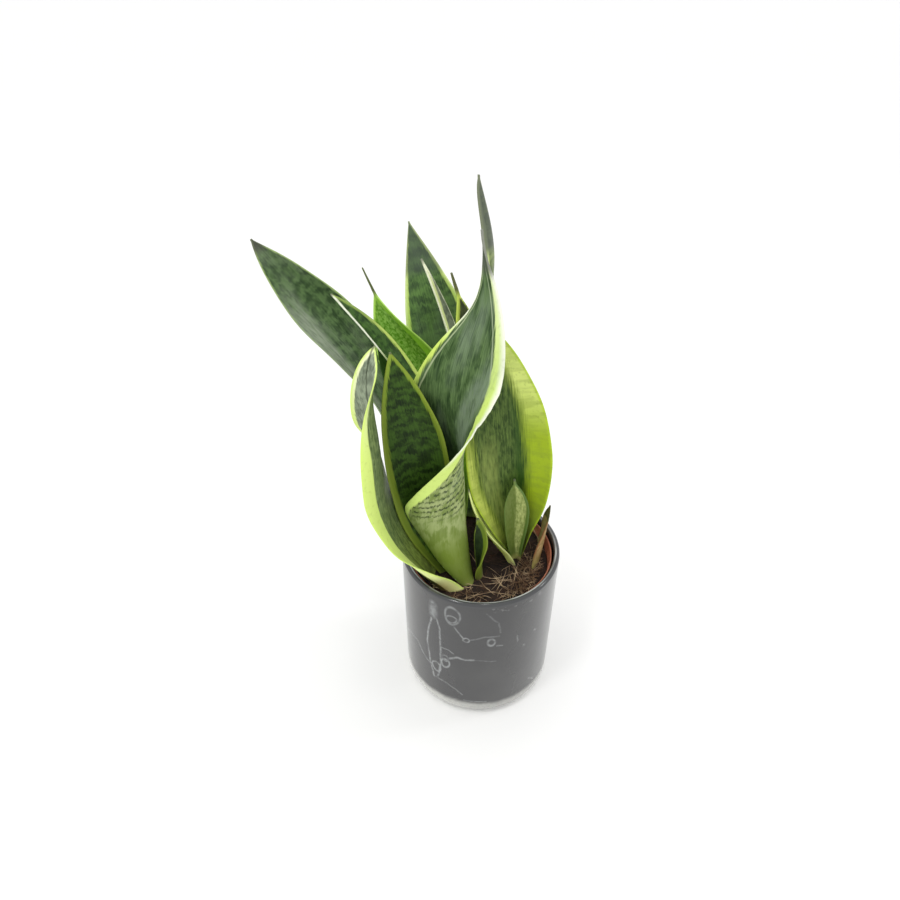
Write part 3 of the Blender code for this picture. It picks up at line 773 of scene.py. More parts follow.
def along(values, s):
    """Values at the places s, from 0 to 1, on a smooth curve through equally spaced values."""
    values = np.array(values, float)
    ends = np.concatenate([[2 * values[0] - values[1]], values, [2 * values[-1] - values[-2]]])
    place = np.clip(s, 0, 1) * (len(values) - 1)
    i = np.minimum(place.astype(int), len(values) - 2)
    t = place - i
    a, b, c, d = ends[i], ends[i + 1], ends[i + 2], ends[i + 3]
    second = 2 * a - 5 * b + 4 * c - d
    third = 3 * b - a - 3 * c + d
    return 0.5 * (2 * b + (c - a) * t + second * t ** 2 + third * t ** 3)


def unit(v):
    return v / np.linalg.norm(v, axis=-1, keepdims=True)


def half_width(shape, s):
    """Half the flat width of the blade, in millimetres."""
    widest = shape["widest"]
    u = np.clip(s / (1 - shape.get("spike", 0.0)), 0, 1)
    swell = np.sin(np.clip(u / widest, 0, 1) * math.pi / 2) ** 1.3
    low = shape["foot_width"] + (1 - shape["foot_width"]) * swell
    high = 1 - np.clip((u - widest) / (1 - widest), 0, 1) ** shape.get("taper", 2.2)
    awl = 0.5 + 0.4 * np.clip((1 - s) / 0.04, 0, 1) if shape.get("spike") else 0.5
    return np.maximum(shape["width"] / 2 * np.where(u < widest, low, high), awl)


rolled_half = float(half_width(leaf_shapes["leaf_front_curl"], np.array([0.45]))[0])
print("the rolled leaf is", round(rolled_half * 2), "mm wide at its widest")

# %% Bend the flat blade into rows
WAVES_ALONG = 5.0


def blade_rows(shape, stations, across, nibble=None):
    """Middle-surface points, normals and flat places across the blade, row by row from foot to tip."""
    s = np.linspace(0, 1, stations)
    fine = np.linspace(0, 1, (stations - 1) * 2 + 1)
    rise = np.radians(along(shape["rise"], fine))
    heading = np.radians(along(shape["heading"], fine))
    ahead = np.stack([np.cos(rise) * np.cos(heading), np.cos(rise) * np.sin(heading), np.sin(rise)], 1)
    spine = np.zeros_like(ahead)
    spine[1:] = np.cumsum((ahead[1:] + ahead[:-1]) / 2 * shape["length"] / (len(fine) - 1), 0)
    spine += np.array([shape["foot"][0], shape["foot"][1], FOOT_LEVEL])
    spine, ahead = spine[::2], ahead[::2]
    facing = np.radians(along(shape["facing"], s))
    out = np.stack([np.cos(facing), np.sin(facing), np.zeros_like(facing)], 1)
    out = unit(out - (out * ahead).sum(1, keepdims=True) * ahead)
    sideways = np.cross(ahead, out)
    half = half_width(shape, s)
    lean = along(shape["lean"], s)
    steps = across // 2
    q = np.sin(np.linspace(0, math.pi / 2, steps + 1)) ** 0.9
    rows = []
    for side, curl_name in ((-1, "curl_left"), (1, "curl_right")):
        curl = np.radians(along(shape[curl_name], s))
        reach = half * (1 + side * lean)
        if nibble is not None:
            reach = reach * (1 + nibble(side, s))
        middle = (q[1:] + q[:-1]) / 2
        turn = curl[:, None] * middle[None, :]
        dq = np.diff(q)[None, :]
        none = np.zeros((stations, 1))
        over = np.concatenate([none, np.cumsum(np.cos(turn) * dq, 1)], 1) * reach[:, None]
        up = np.concatenate([none, np.cumsum(np.sin(turn) * dq, 1)], 1) * reach[:, None]
        tilt = curl[:, None] * q[None, :]
        normal = np.cos(tilt)[..., None] * out[:, None] - side * np.sin(tilt)[..., None] * sideways[:, None]
        ripple = shape["wave"] * q[None, :] ** 4 * np.sin(2 * math.pi * WAVES_ALONG * s + side)[:, None]
        place = spine[:, None] + side * over[..., None] * sideways[:, None] + up[..., None] * out[:, None]
        place = place + normal * ripple[..., None]
        rows.append((place, normal, side * q[None, :] * reach[:, None], reach))
    left, right = rows
    points = np.concatenate([left[0][:, :0:-1], right[0]], 1)
    normals = np.concatenate([left[1][:, :0:-1], right[1]], 1)
    flat = np.concatenate([left[2][:, :0:-1], right[2]], 1)
    v = np.concatenate([-q[:0:-1], q])
    return s, v, points, normals, flat, left[3], right[3]


def thickness(s, v):
    """Full thickness in millimetres at s along and v across."""
    middle = BLADE_MARGIN + (BLADE_MIDDLE - BLADE_MARGIN) * (1 - np.abs(v[None, :]) ** 1.5)
    taper = np.clip((1 - s[:, None]) / 0.5, 0, 1) ** 0.7
    return BLADE_MARGIN + (middle - BLADE_MARGIN) * taper


half_way = float(thickness(np.array([0.5]), np.array([0.0]))[0, 0])
print("half way up a blade is", round(half_way, 2), "mm thick")

# %% [markdown]
# ## From rows to a blade with a skin
# Each row becomes a closed loop: over the inner face, round the right margin, back over the outer face and
# round the left margin. So the blade is one closed skin with rounded margins. While the points are made,
# what the finish needs is written on them: the flat place across and along in millimetres, which face it
# is, and how far a point lies inside the coloured margin.

# %% Build a blade
STATION_MM = 1.7
BROAD_FROM_MM = 30
STRIPS_BROAD = 26
STRIPS_NARROW = 16
RIM_BULGE = 0.3
ROUNDED_SHARE = 0.035


def build_leaf(name, shape, look, material):
    """The closed blade of one leaf, with the places that its finish reads."""
    stations = int(shape["length"] / STATION_MM)
    across = STRIPS_BROAD if shape["width"] > BROAD_FROM_MM else STRIPS_NARROW
    s, v, points, normals, flat, left, right = blade_rows(shape, stations, across, look.get("nibble"))
    half = thickness(s, v)[..., None] / 2
    edge_v = 1 - np.abs(v)
    rounding = np.sqrt(np.clip(edge_v / ROUNDED_SHARE, 0.0, 1.0))
    half = half * (0.45 + 0.55 * rounding)[None, :, None]
    inner = points + normals * half
    outer = points - normals * half
    tangent = unit(points[:, -1] - points[:, -2])
    right_rim = points[:, -1] + tangent * RIM_BULGE
    tangent = unit(points[:, 0] - points[:, 1])
    left_rim = points[:, 0] + tangent * RIM_BULGE
    loops = np.concatenate([inner, right_rim[:, None], outer[:, ::-1], left_rim[:, None]], 1)
    n = loops.shape[1]
    wide = len(v)
    flats = np.concatenate([flat, flat[:, -1:], flat[:, ::-1], flat[:, :1]], 1)
    face = np.concatenate([np.ones(wide), [0.0], -np.ones(wide), [0.0]])
    to_left = left[:, None] + flats
    to_right = right[:, None] - flats
    left_margin = along(look["left_margin"], s)[:, None] - to_left
    right_margin = along(look["right_margin"], s)[:, None] - to_right
    inside = np.maximum(left_margin, right_margin)
    edge = np.minimum(to_left, to_right)
    index = np.arange(stations * n).reshape(stations, n)
    a, b = index[:-1], np.roll(index, -1, 1)[:-1]
    c, d = np.roll(index, -1, 1)[1:], index[1:]
    faces = np.stack([a, b, c, d], -1).reshape(-1, 4).tolist()
    foot_cap = [tuple(int(k) for k in index[0][::-1])]
    tip_cap = [tuple(int(k) for k in index[-1])]
    leaf = make_piece("snake_" + name, (loops.reshape(-1, 3) * MM).tolist(), faces + foot_cap + tip_cap,
                      material, name)
    y_mm = np.broadcast_to((s * shape["length"])[:, None], flats.shape)
    side = np.broadcast_to(face[None, :], flats.shape)
    s_all = np.broadcast_to(s[:, None], flats.shape)
    written = {
        "blade": (flats, y_mm, side),
        "rim": (inside, edge, s_all),
        "sides": (to_left, to_right, s_all),
    }
    for key, values in written.items():
        layer = leaf.data.attributes.new(key, "FLOAT_VECTOR", "POINT")
        layer.data.foreach_set("vector", np.stack(values, -1).astype(np.float32).ravel())
    return leaf, len(faces)


print("the longest blade has", int(max(x["length"] for x in leaf_shapes.values()) / STATION_MM), "rows")

# %% [markdown]
# ## The skin of a leaf
# The yellow-edged snake plant has a dark green band down its middle, crossed by paler, grey-green bars
# with ragged ends. The bars are blotches of noise drawn out across the blade. Fine noise drawn out along
# the blade pulls their ends into teeth, as the leaf's own fibres do. The outer face is paler, and its bars
# are dark zigzags. Towards each margin the green stops at a streaky line and the yellow-green begins. One
# recipe does all of this, and each leaf gives it its own colours and scales, because no two have quite the
# same.

# %% The values that a leaf can change
plain_look = dict(
    # inner face: two greens, bars across and streaks along
    dark=(38, 58, 40), pale=(86, 112, 72), bars=0.5, bar_length=4.5, bar_width=14.0, arch=0.0, streaks=0.35,
    # outer face, and its zigzag rows between two shares of the length
    outer_dark=(60, 84, 56), outer_pale=(132, 152, 100), outer_low=(96, 112, 62), low_until=0.0,
    zigzag=0.0, zig_from=0.0, zig_to=1.0, zig_slant=-0.3,
    # margins: colours in the middle, at the edge (partly a painted highlight), at the foot and near the tip,
    # and widths in millimetres along the blade
    margin=(188, 214, 96), margin_edge=(226, 240, 170), margin_low=(150, 175, 80),
    margin_top=(200, 222, 120), left_tone=None, left_margin=(3, 2), right_margin=(3, 2), soft=1.0,
    edge_reach=2.2, top_from=(0.7, 0.95), mottle=0.2, mottle_colour=(120, 150, 50), margin_bars=0.0,
    # light lines: a second pale line beside the left margin, a pale line beside the right margin, a painted
    # sheen where the blade curves, and the painted shade of a crease
    second_line=None, right_line=None, side_sheen=None, crease_shade=None,
    # foot and tip
    foot_colour=(150, 160, 90), foot_length=6.0, foot_strength=0.7,
    tip_colour=(92, 98, 82), tip_from=0.965, tip_strength=0.8,
    # the outer face at the foot: a painted shade in dull green up to a share of the length, and the
    # millimetres from the left margin between which it sets in
    outer_foot_shade=(84, 92, 42), outer_foot_until=0.0, outer_foot_edge=(5.0, 6.5),
    # a pale dry collar round the foot
    collar=None,
    # one half of the blade in another tone, on the pup a painted shade over its left half: colour, then two
    # places across and the strength at each
    half_tone=None,
    # the inner face's foot in another colour, a painted shade deep inside the curled leaf's roll and a paler
    # patch on the front left leaf: colour, then the shares of the length where it is full and gone, and
    # strength
    inner_low=None,
    # stretches of one margin in a colour of their own: side (-1 left, 1 right), colour, from and until
    rims=(),
    # the side of the margin that meets the green: its colour and how far it reaches
    margin_inner=None,
    # the painted sheen and its colour, the seed of the noise, and the skin's roughness and reflection
    sheen=0.2, sheen_colour=(140, 156, 138), seed=0.0, gloss=0.42, shine=0.14,
)
print("a leaf's look has", len(plain_look), "values")

# %% [markdown]
# ### What every leaf recipe can do
# A leaf's recipe reads the places that were written on the blade: millimetres across and along, the face,
# and the distances to both margins. From them it can draw three things: noise stretched on the flat blade,
# a soft band round a distance, and a window between two shares of the length.

# %% Give a recipe the places on the flat blade


class LeafRecipe(Recipe):
    """A recipe that knows one leaf's look and the places on its flat blade."""

    def __init__(self, name, look):
        super().__init__(
            name, look["gloss"], Specular_IOR_Level=look["shine"], Coat_Weight=0.02, Coat_Roughness=0.3)
        self.look = look
        self.x_mm, self.y_mm, self.face = self.parts(self.attribute("blade"))
        self.inside, self.edge, self.s = self.parts(self.attribute("rim"))
        self.from_left, self.from_right, _ = self.parts(self.attribute("sides"))
        self.fibres = self.patch(1.1, 0.05, 0.0, 3.0, 0.6)
        self.teeth = self.patch(0.55, 0.09, 5.0, 2.0, 0.6)

    def patch(self, x_scale, y_scale, shift, detail=2.0, rough=0.55):
        """Noise on the flat blade, drawn out by its two scales."""
        over = self.math("MULTIPLY", self.x_mm, x_scale)
        up = self.math("MULTIPLY", self.y_mm, y_scale)
        return self.noise(self.vector(over, up, self.look["seed"] + shift), 1.0, detail, rough)

    def near(self, value, middle, half, strength=1.0):
        """Strength at the middle, none beyond half on either side."""
        away = self.math("ABSOLUTE", self.math("SUBTRACT", value, middle))
        return self.step(away, half * 0.35, half, strength, 0.0)

    def between(self, low, high, soft=0.03):
        """One where s lies between two shares of the length."""
        rising = self.step(self.s, low - soft, low + soft)
        return self.math("MULTIPLY", rising, self.step(self.s, high - soft, high + soft, 1.0, 0.0))

    def wavering(self, value, noise_seed, amount, y_scale=0.06):
        """A place in millimetres that wavers slowly along the blade."""
        return self.math("MULTIPLY_ADD", self.patch(0.0, y_scale, noise_seed), amount,
                         self.math("ADD", value, -amount / 2))


print("a leaf's recipe can draw with", [name for name in vars(LeafRecipe) if name[0] != "_"])

# %% [markdown]
# ### The two faces of the blade
# On the inner face the bars are blotches between two greens. They are stretched across the blade, bent a
# little into an arch, and pulled into teeth along the fibres. A painted sheen, the grey gloss of the waxy
# skin, lies over them in clouds. The outer face is plainer and paler. On a rolled leaf it carries rows of
# dark, broken dashes, which are a zigzag made by folding a number to and fro.

# %% Colour the two faces


def draw_bars(leaf):
    """How pale each place is because of the bars, from 0 to 1."""
    look = leaf.look
    arched = leaf.math("MULTIPLY_ADD", leaf.math("MULTIPLY", leaf.x_mm, leaf.x_mm), look["arch"], leaf.y_mm)
    pull = 26.0 * look["streaks"]
    pulled = leaf.math("MULTIPLY_ADD", leaf.math("SUBTRACT", leaf.teeth, 0.5), pull, arched)
    bar_x = leaf.math("DIVIDE", leaf.x_mm, look["bar_width"])
    bar_y = leaf.math("DIVIDE", pulled, look["bar_length"])
    raw_bars = leaf.noise(leaf.vector(bar_x, bar_y, look["seed"] + 9), 1.0, 2.0, 0.55)
    return leaf.step(raw_bars, 0.5 - look["bars"] * 0.2, 0.5 + look["bars"] * 0.2)


def inner_face(leaf, bars):
    look = leaf.look
    streaky = leaf.step(leaf.fibres, 0.35, 0.68)
    bar_share = leaf.math("MULTIPLY", bars, 1 - look["streaks"])
    paleness = leaf.math("MULTIPLY_ADD", streaky, look["streaks"], bar_share)
    inner = leaf.mix(paleness, rgb(*look["dark"]), rgb(*look["pale"]))
    # painted sheen: the grey gloss of the waxy skin, laid into the colour in clouds
    cloud = leaf.step(leaf.patch(0.07, 0.02, 3.0), 0.42, 0.7)
    sheen = leaf.math("MULTIPLY", cloud, leaf.math("MULTIPLY_ADD", leaf.fibres, 0.8, 0.3))
    inner = leaf.mix(leaf.math("MULTIPLY", sheen, look["sheen"]), inner, rgb(*look["sheen_colour"]))
    # one half in another tone; on the pup this is painted shade over its left half
    if look["half_tone"]:
        tone_colour, here, there, at_here, at_there = look["half_tone"]
        half = leaf.math("MULTIPLY_ADD", leaf.fibres, 4.0, leaf.math("ADD", leaf.x_mm, -2.0))
        inner = leaf.mix(leaf.step(half, here, there, at_here, at_there), inner, rgb(*tone_colour))
    # the inner face low on the blade: on the curled leaf a painted shade deep in its roll, on the front left
    # leaf a paler patch
    if look["inner_low"]:
        low_colour, here, there, strength = look["inner_low"]
        low = leaf.step(leaf.math("MULTIPLY_ADD", leaf.teeth, 0.06, leaf.s), here, there, strength, 0.0)
        deep = leaf.mix(paleness, rgb(*low_colour), rgb(*[c * 1.5 for c in low_colour]))
        inner = leaf.mix(low, inner, deep)
    return inner


def zigzag_dashes(leaf):
    """How strong the dark dashes are, from 0 to 1."""
    look = leaf.look
    tooth = leaf.math("PINGPONG", leaf.math("MULTIPLY_ADD", leaf.teeth, 6.0, leaf.x_mm), 1.6)
    climb = leaf.math("MULTIPLY_ADD", tooth, 1.1, leaf.y_mm)
    rows = leaf.math("MULTIPLY_ADD", leaf.x_mm, look["zig_slant"], climb)
    lines = leaf.step(leaf.math("PINGPONG", rows, 3.3), 1.5, 2.5)
    broken = leaf.step(leaf.patch(0.25, 0.16, 21.0, 3.0, 0.65), 0.38, 0.54)
    window = leaf.between(look["zig_from"], look["zig_to"], 0.02)
    dashes = leaf.math("MULTIPLY", leaf.math("MULTIPLY", lines, broken), look["zigzag"])
    return leaf.math("MULTIPLY", dashes, window)


def outer_face(leaf, bars):
    look = leaf.look
    tone = leaf.math("MULTIPLY_ADD", bars, 0.35, leaf.math("MULTIPLY", leaf.fibres, 0.65))
    outer = leaf.mix(leaf.step(tone, 0.2, 0.8), rgb(*look["outer_dark"]), rgb(*look["outer_pale"]))
    if look["low_until"]:
        low = leaf.step(leaf.s, look["low_until"] * 0.5, look["low_until"], 0.9, 0.0)
        outer = leaf.mix(low, outer, rgb(*look["outer_low"]))
    return leaf.mix(zigzag_dashes(leaf), outer, rgb(56, 68, 48))


print("faces drawn by", [f.__name__ for f in (inner_face, outer_face)])

# %% [markdown]
# ### The margins
# The yellow-green margin ends in a streaky line, not a clean one, because each fibre of the leaf is either
# green or not. So the distance to that line is roughened by the fibres before it is turned into a mask.
# The margin's colour changes from foot to tip and pales towards its very edge, partly in its own tone and
# partly as a painted highlight, and it has small spots.

# %% Colour the margins


def margin_mask(leaf):
    soft = leaf.look["soft"]
    ragged = leaf.math("MULTIPLY_ADD", leaf.math("SUBTRACT", leaf.fibres, 0.5), 2.6 * soft, leaf.inside)
    return ragged, leaf.step(ragged, -0.6 * soft, 0.5 * soft)


def margin_colour(leaf, ragged):
    look = leaf.look
    margin = leaf.mix(leaf.step(leaf.s, 0.12, 0.4), rgb(*look["margin_low"]), rgb(*look["margin"]))
    margin = leaf.mix(leaf.step(leaf.s, *look["top_from"]), margin, rgb(*look["margin_top"]))
    if look["left_tone"]:
        margin = leaf.mix(leaf.step(leaf.x_mm, -1.0, 1.0, 1.0, 0.0), margin, rgb(*look["left_tone"]))
    # the paler edge: partly the margin's own tone and partly a painted highlight
    at_edge = leaf.step(leaf.edge, 0.0, look["edge_reach"], 0.85, 0.0)
    margin = leaf.mix(at_edge, margin, rgb(*look["margin_edge"]))
    for side, rim_colour, low, high in look["rims"]:
        on_side = leaf.step(leaf.math("MULTIPLY", leaf.x_mm, float(side)), -1.0, 1.0)
        stretch = leaf.math("MULTIPLY", on_side, leaf.between(low, high, 0.05))
        margin = leaf.mix(stretch, margin, rgb(*rim_colour))
    if look["margin_inner"]:
        inner_colour, reach = look["margin_inner"]
        margin = leaf.mix(leaf.step(ragged, 0.0, reach, 0.8, 0.0), margin, rgb(*inner_colour))
    spots = leaf.step(leaf.patch(0.3, 0.3, 13.0, 3.0, 0.6), 0.53, 0.72, 0.0, look["mottle"])
    margin = leaf.mix(spots, margin, rgb(*look["mottle_colour"]))
    if look["margin_bars"]:
        rungs = leaf.step(leaf.patch(0.05, 0.17, 41.0, 2.0, 0.6), 0.42, 0.62, 0.0, look["margin_bars"])
        margin = leaf.mix(rungs, margin, rgb(*look["mottle_colour"]))
    return margin


print("margins drawn by", [f.__name__ for f in (margin_mask, margin_colour)])

# %% [markdown]
# ### Pale lines, foot and tip
# Some blades have a fine pale line beside the margin, a painted sheen where they bend, or the painted shade
# of a crease. At the foot the leaf is paler and drier, and one leaf's outer face gets a painted shade there.
# At the tip it has died back to grey or brown. These come last, because they lie over everything else.

# %% Add the lines, the foot and the tip


def pale_lines(leaf, colour):
    look = leaf.look
    fine_lines = (
        ("second_line", leaf.from_left, 31.0, (214, 226, 180)),
        ("right_line", leaf.from_right, 33.0, (200, 214, 176)),
    )
    for key, distance, noise_seed, line_colour in fine_lines:
        if look[key]:
            at, half, strength, low, high = look[key]
            place = leaf.wavering(distance, noise_seed, 2.0)
            line = leaf.math("MULTIPLY", leaf.near(place, at, half, strength), leaf.between(low, high))
            colour = leaf.mix(line, colour, rgb(*line_colour))
    # painted sheen: a pale streaky band where the blade bends towards the light
    if look["side_sheen"]:
        at, half, strength, low, high = look["side_sheen"]
        place = leaf.math("MULTIPLY_ADD", leaf.math("SUBTRACT", leaf.fibres, 0.5), 5.0, leaf.from_left)
        band = leaf.math("MULTIPLY", leaf.near(place, at, half, strength), leaf.between(low, high, 0.1))
        band = leaf.math("MULTIPLY", band, leaf.step(leaf.teeth, 0.25, 0.65, 0.35, 1.0))
        colour = leaf.mix(band, colour, rgb(*look["sheen_colour"]))
    # painted shade: a dark line down a fold of the blade
    if look["crease_shade"]:
        at, half, strength = look["crease_shade"]
        place = leaf.wavering(leaf.x_mm, 37.0, 2.0, 0.05)
        colour = leaf.mix(leaf.near(place, at, half, strength), colour, rgb(52, 60, 40))
    return colour


def foot_and_tip(leaf, colour):
    look = leaf.look
    # painted shade on the outer face at the foot, where the blade turns down and away from the light
    if look["outer_foot_until"]:
        until = look["outer_foot_until"]
        shaded = leaf.step(leaf.s, until * 0.7, until, 0.95, 0.0)
        shaded = leaf.math("MULTIPLY", shaded, leaf.step(leaf.face, -0.3, 0.3, 1.0, 0.0))
        under = leaf.step(leaf.from_left, *look["outer_foot_edge"])
        colour = leaf.mix(leaf.math("MULTIPLY", shaded, under), colour, rgb(*look["outer_foot_shade"]))
    foot_end = 14.0 + look["foot_length"] * 1.5
    foot = leaf.step(leaf.y_mm, 12.0, foot_end, look["foot_strength"], 0.0)
    colour = leaf.mix(foot, colour, rgb(*look["foot_colour"]))
    if look["collar"]:
        reach = leaf.math("MULTIPLY_ADD", leaf.fibres, -5.0, leaf.y_mm)
        colour = leaf.mix(leaf.step(reach, 13.0, 20.0, 0.85, 0.0), colour, rgb(*look["collar"]))
    tip_full = min(look["tip_from"] + 0.03, 0.999)
    tip = leaf.step(leaf.s, look["tip_from"], tip_full, 0.0, look["tip_strength"])
    return leaf.mix(tip, colour, rgb(*look["tip_colour"]))


def leaf_skin(name, look):
    """The finished material of one leaf."""
    leaf = LeafRecipe(name, look)
    bars = draw_bars(leaf)
    inner_share = leaf.step(leaf.face, -0.3, 0.3)
    green = leaf.mix(inner_share, outer_face(leaf, bars), inner_face(leaf, bars))
    ragged, in_margin = margin_mask(leaf)
    colour = leaf.mix(in_margin, green, margin_colour(leaf, ragged))
    leaf.colour(foot_and_tip(leaf, pale_lines(leaf, colour)))
    leaf.rough(leaf.math("MULTIPLY_ADD", leaf.fibres, 0.16, look["gloss"] - 0.08))
    leaf.bump(leaf.math("MULTIPLY_ADD", leaf.teeth, 0.5, leaf.fibres), 0.0003, 0.35)
    return leaf.material


print("one skin recipe serves", len(leaf_shapes), "leaves")

# %% [markdown]
# ## Each leaf's own look
# What changes from leaf to leaf is how wide the yellow-green margins are, how dark the middle is, how bold
# and how long the bars are, and how much the skin shines. The young leaf is bright green all over.

# %% Nicks in a margin


def ragged_right(side, s):
    """Small nicks in the right margin, most of them half way up."""
    if side < 0:
        return 0.0 * s
    strong = np.exp(-((s - 0.58) / 0.14) ** 2)
    return strong * (0.010 * np.sin(s * 160) + 0.012 * np.sin(s * 97 + 1) + 0.006 * np.sin(s * 310))


print("deepest nick is", round(float(np.abs(ragged_right(1, np.linspace(0, 1, 400))).max() * 100), 1), "%")

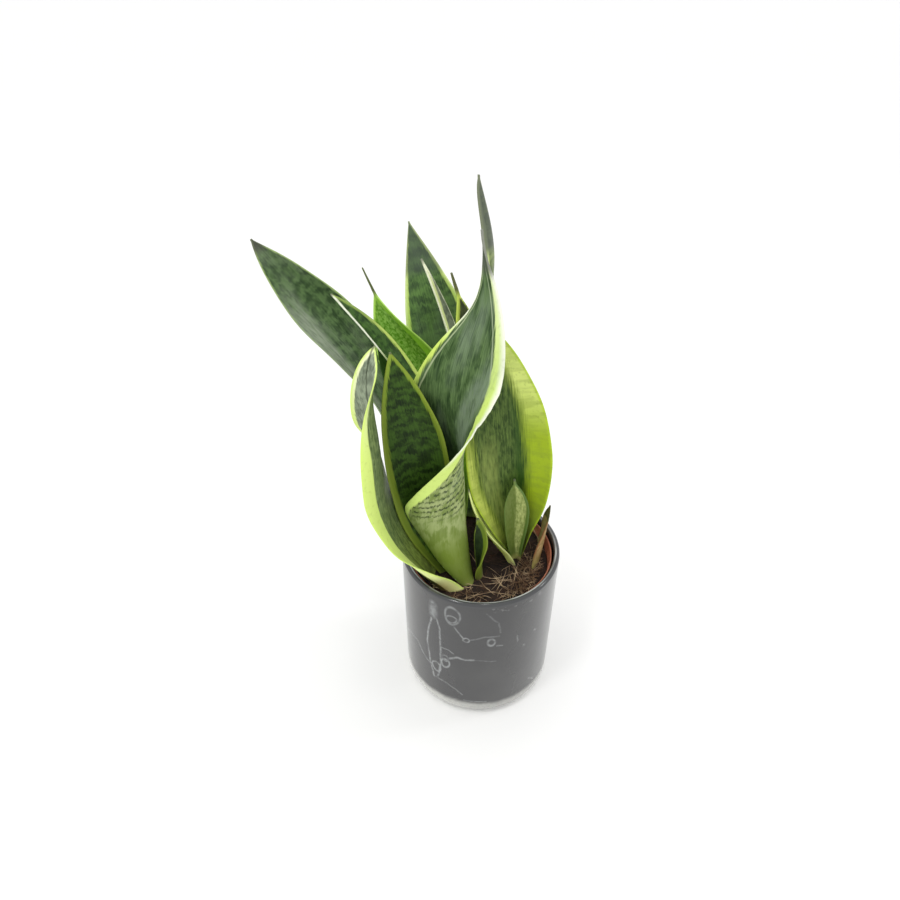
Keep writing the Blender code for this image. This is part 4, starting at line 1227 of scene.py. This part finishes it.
# %% The look of each leaf
leaf_looks = {
    "leaf_front_curl": dict(
        left_margin=(1, 1, 1, 2, 2.2, 2.2, 1.8), right_margin=(0, 0, 1.4, 6.5, 12, 11.5, 9.5, 7, 2.5),
        seed=1.0, dark=(46, 68, 38), pale=(102, 128, 80), bars=0.6, streaks=0.5, bar_length=12.0,
        bar_width=7.0, sheen=0.6, sheen_colour=(136, 152, 130), soft=1.8, edge_reach=6.0,
        # inner_low: painted shade deep inside the roll
        inner_low=((32, 52, 20), 0.46, 0.64, 0.9),
        rims=((-1, (206, 230, 112), -0.2, 0.76), (1, (210, 232, 130), 0.2, 0.53)),
        shine=0.0, side_sheen=(46, 12, 0.6, 0.44, 0.75),
        outer_dark=(122, 140, 76), outer_pale=(172, 184, 128), outer_low=(118, 138, 54), low_until=0.3,
        zigzag=0.82, zig_from=0.3, zig_to=0.56, zig_slant=0.25,
        margin=(212, 238, 126), margin_edge=(251, 252, 240), margin_low=(150, 170, 90),
        margin_top=(226, 238, 186), second_line=(4.8, 0.8, 0.5, 0.55, 0.93),
        right_line=(11.0, 0.9, 0.45, 0.72, 0.95), nibble=ragged_right, tip_colour=(84, 88, 80),
        tip_from=0.9),
    "leaf_front_inner": dict(
        left_margin=(5, 5, 4, 2), right_margin=(6, 5, 3.5, 2), seed=2.0,
        dark=(22, 40, 12), pale=(68, 100, 34), bars=0.6, streaks=0.3, arch=0.006, bar_length=5.0,
        bar_width=10.0, sheen=0.14, sheen_colour=(92, 120, 56), soft=1.5,
        margin=(120, 140, 42), margin_edge=(140, 158, 60), margin_low=(96, 116, 40),
        margin_top=(140, 166, 56), mottle=0.3, tip_from=0.99),
    "leaf_front_left": dict(
        left_margin=(16, 15.5, 14, 12.5, 9, 2, 1), right_margin=(3, 3, 3, 3, 3, 3), seed=3.0,
        dark=(66, 86, 48), pale=(148, 168, 108), bars=0.8, bar_length=5.0, bar_width=5.0, streaks=0.55,
        sheen=0.2, margin=(220, 242, 132), margin_edge=(216, 242, 122), margin_low=(242, 252, 172),
        inner_low=((118, 134, 58), 0.2, 0.44, 0.7),
        margin_top=(238, 244, 196), mottle=0.25, mottle_colour=(166, 188, 84),
        outer_dark=(92, 102, 84), outer_pale=(152, 164, 138), crease_shade=(0.5, 0.9, 0.7),
        outer_foot_until=0.3, outer_foot_edge=(8.6, 10.2), outer_foot_shade=(76, 88, 32),
        foot_colour=(214, 232, 132), foot_strength=0.1,
        tip_colour=(110, 114, 100), tip_from=0.985),
    "leaf_front_low": dict(
        left_margin=(0, 0, 0), right_margin=(5, 6, 5), seed=4.0, dark=(26, 40, 22), pale=(48, 66, 36),
        margin=(116, 138, 44), margin_edge=(134, 152, 58), margin_low=(110, 122, 50),
        margin_top=(96, 116, 44), sheen=0.04, outer_dark=(84, 98, 44), outer_pale=(112, 126, 60)),
    "leaf_left_second": dict(
        left_margin=(2, 1.5, 1.2), right_margin=(3.4, 3, 1.2), seed=5.0,
        dark=(36, 60, 30), pale=(78, 112, 52), bar_length=5.0, bar_width=9.0, sheen=0.08,
        margin=(216, 240, 120), margin_edge=(230, 246, 140), margin_top=(150, 176, 88),
        rims=((-1, (242, 246, 226), 0.78, 1.2), (-1, (104, 124, 76), -0.2, 0.78),
              (1, (142, 166, 84), 0.86, 1.2)), tip_from=0.99),
    "leaf_left_long": dict(
        left_margin=(1.4, 1, 0.5), right_margin=(1.2, 1, 0.5), seed=6.0,
        dark=(44, 64, 38), pale=(98, 126, 78), bars=0.7, bar_length=6.0, bar_width=6.0, streaks=0.35,
        sheen=0.3, margin=(140, 166, 100), margin_edge=(168, 192, 124), margin_top=(84, 96, 70),
        side_sheen=(6, 12, 0.85, 0.3, 0.82), sheen_colour=(158, 168, 148), tip_colour=(80, 78, 74),
        tip_from=0.95),
    "leaf_bright": dict(
        left_margin=(-3, -3, -3, -3, 1, 2), right_margin=(9, 8, 4), seed=7.0,
        half_tone=((42, 74, 26), -14.0, -9.0, 0.95, 0.0),
        dark=(80, 134, 16), pale=(140, 186, 78), streaks=0.25, bars=0.45, bar_length=2.6, bar_width=2.4,
        margin=(150, 208, 60), margin_edge=(196, 238, 116), margin_top=(134, 186, 56),
        margin_low=(120, 170, 40), sheen=0.04, outer_dark=(84, 128, 30), outer_pale=(128, 176, 70),
        slot="leaf_bright_green", tip_colour=(84, 84, 60), tip_from=0.9, tip_strength=0.9),
    "leaf_back_tall": dict(
        left_margin=(7, 7, 6, 3, 0), right_margin=(6, 6, 6, 4, 0), seed=8.0,
        dark=(58, 78, 52), pale=(112, 148, 82), bars=0.8, bar_length=6.0, bar_width=15.0, sheen=0.25,
        margin=(206, 236, 120), margin_edge=(232, 248, 170), margin_top=(196, 220, 130),
        second_line=(4.6, 0.7, 0.6, 0.3, 0.62), tip_colour=(80, 90, 80), tip_from=0.85, tip_strength=0.6),
    "leaf_back_narrow": dict(
        left_margin=(5.5, 5, 3.5), right_margin=(0, 0, 0), seed=9.0, dark=(88, 98, 80), pale=(130, 140, 114),
        margin=(224, 236, 160), margin_edge=(248, 250, 224), margin_top=(206, 214, 150), tip_from=0.98),
    "leaf_back_small": dict(
        left_margin=(7, 7, 5, 1), right_margin=(0, 0, 0), seed=10.0, dark=(56, 64, 40), pale=(82, 90, 56),
        margin=(198, 220, 76), margin_edge=(214, 234, 106), margin_top=(150, 166, 70), bar_length=6.0,
        sheen=0.1, tip_colour=(76, 76, 56), tip_from=0.925, tip_strength=0.9),
    "leaf_back_edge": dict(
        left_margin=(0, 0, 0, 0), right_margin=(4, 4, 4.5, 4, 1), seed=11.0,
        outer_dark=(84, 98, 56), outer_pale=(136, 152, 94), margin=(208, 226, 140),
        margin_edge=(230, 240, 176), margin_top=(150, 160, 130), tip_colour=(84, 90, 84), tip_from=0.8),
    "leaf_right_broad": dict(
        left_margin=(10, 12, 11, 8, 5, 3, 2), right_margin=(18, 20, 20, 20, 16, 12), seed=12.0, soft=5.0,
        dark=(34, 58, 18), pale=(104, 128, 62), bars=0.8, bar_length=7.0, bar_width=3.2, streaks=0.5,
        sheen=0.0, half_tone=((44, 78, 22), 0.0, 9.0, 0.0, 0.8), top_from=(0.58, 0.84),
        side_sheen=(17, 9, 0.5, 0.12, 0.56), sheen_colour=(172, 188, 100),
        margin_inner=((108, 132, 38), 7.0),
        margin=(166, 190, 38), margin_edge=(182, 210, 48), margin_low=(128, 148, 66),
        margin_top=(228, 242, 138), left_tone=(204, 218, 104), mottle=0.35, mottle_colour=(126, 148, 50),
        margin_bars=0.3, foot_colour=(112, 134, 56), foot_length=34.0, collar=(196, 194, 118)),
    "leaf_right_low": dict(
        left_margin=(12, 12, 12), right_margin=(12, 12, 12), seed=13.0, margin=(226, 242, 126),
        margin_edge=(240, 250, 168), margin_low=(236, 246, 146), margin_top=(230, 242, 140),
        mottle=0.05, crease_shade=(4.5, 0.9, 0.6), foot_strength=0.3),
    "pup": dict(
        left_margin=(0, 0, 0), right_margin=(2.5, 2.5, 1), seed=14.0, dark=(116, 134, 66),
        pale=(196, 206, 132), margin=(92, 118, 52), margin_edge=(100, 126, 64), margin_low=(104, 124, 58),
        margin_top=(112, 142, 84), bars=0.9, bar_length=4.0, bar_width=2.2, sheen=0.05, foot_length=4.0,
        # half_tone: painted shade over the left half
        half_tone=((86, 106, 36), -1.5, 1.5, 0.85, 0.0), collar=(186, 186, 112)),
    "dry_sheath": dict(
        left_margin=(1, 1, 1), right_margin=(1, 1, 1), seed=15.0, dark=(150, 132, 84), pale=(188, 168, 116),
        margin=(150, 108, 66), margin_edge=(132, 92, 60), margin_low=(170, 150, 90),
        margin_top=(90, 96, 50), outer_dark=(148, 122, 78), outer_pale=(186, 160, 110),
        gloss=0.7, sheen=0.0, slot="dry_leaf", foot_colour=(190, 190, 112), foot_length=8.0,
        tip_colour=(70, 84, 40), tip_from=0.8),
}
print("looks given:", len(leaf_looks))

# %% Build and finish every leaf
for name, shape in leaf_shapes.items():
    look = {**plain_look, **leaf_looks[name]}
    leaf, count = build_leaf(name, shape, look, leaf_skin("skin_of_" + name, look))
    print(name, "has", count, "faces")

# %% [markdown]
# ## What stays hidden
# The underground stem lies in the mix and can't be seen, but it keeps its solid and gets a plain root skin.

# %% Finish the underground stem
root_skin = Recipe("rhizome_skin", 0.7)
where = root_skin.place()
root_skin.colour(root_skin.mix(root_skin.noise(where, 180.0, 3.0), rgb(196, 168, 118), rgb(150, 116, 72)))
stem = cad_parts["rhizome"]
stem.data.materials.clear()
stem.data.materials.append(root_skin.material)
print("stem is", [round(c * 1000) for c in stem.dimensions], "mm")

# %% [markdown]
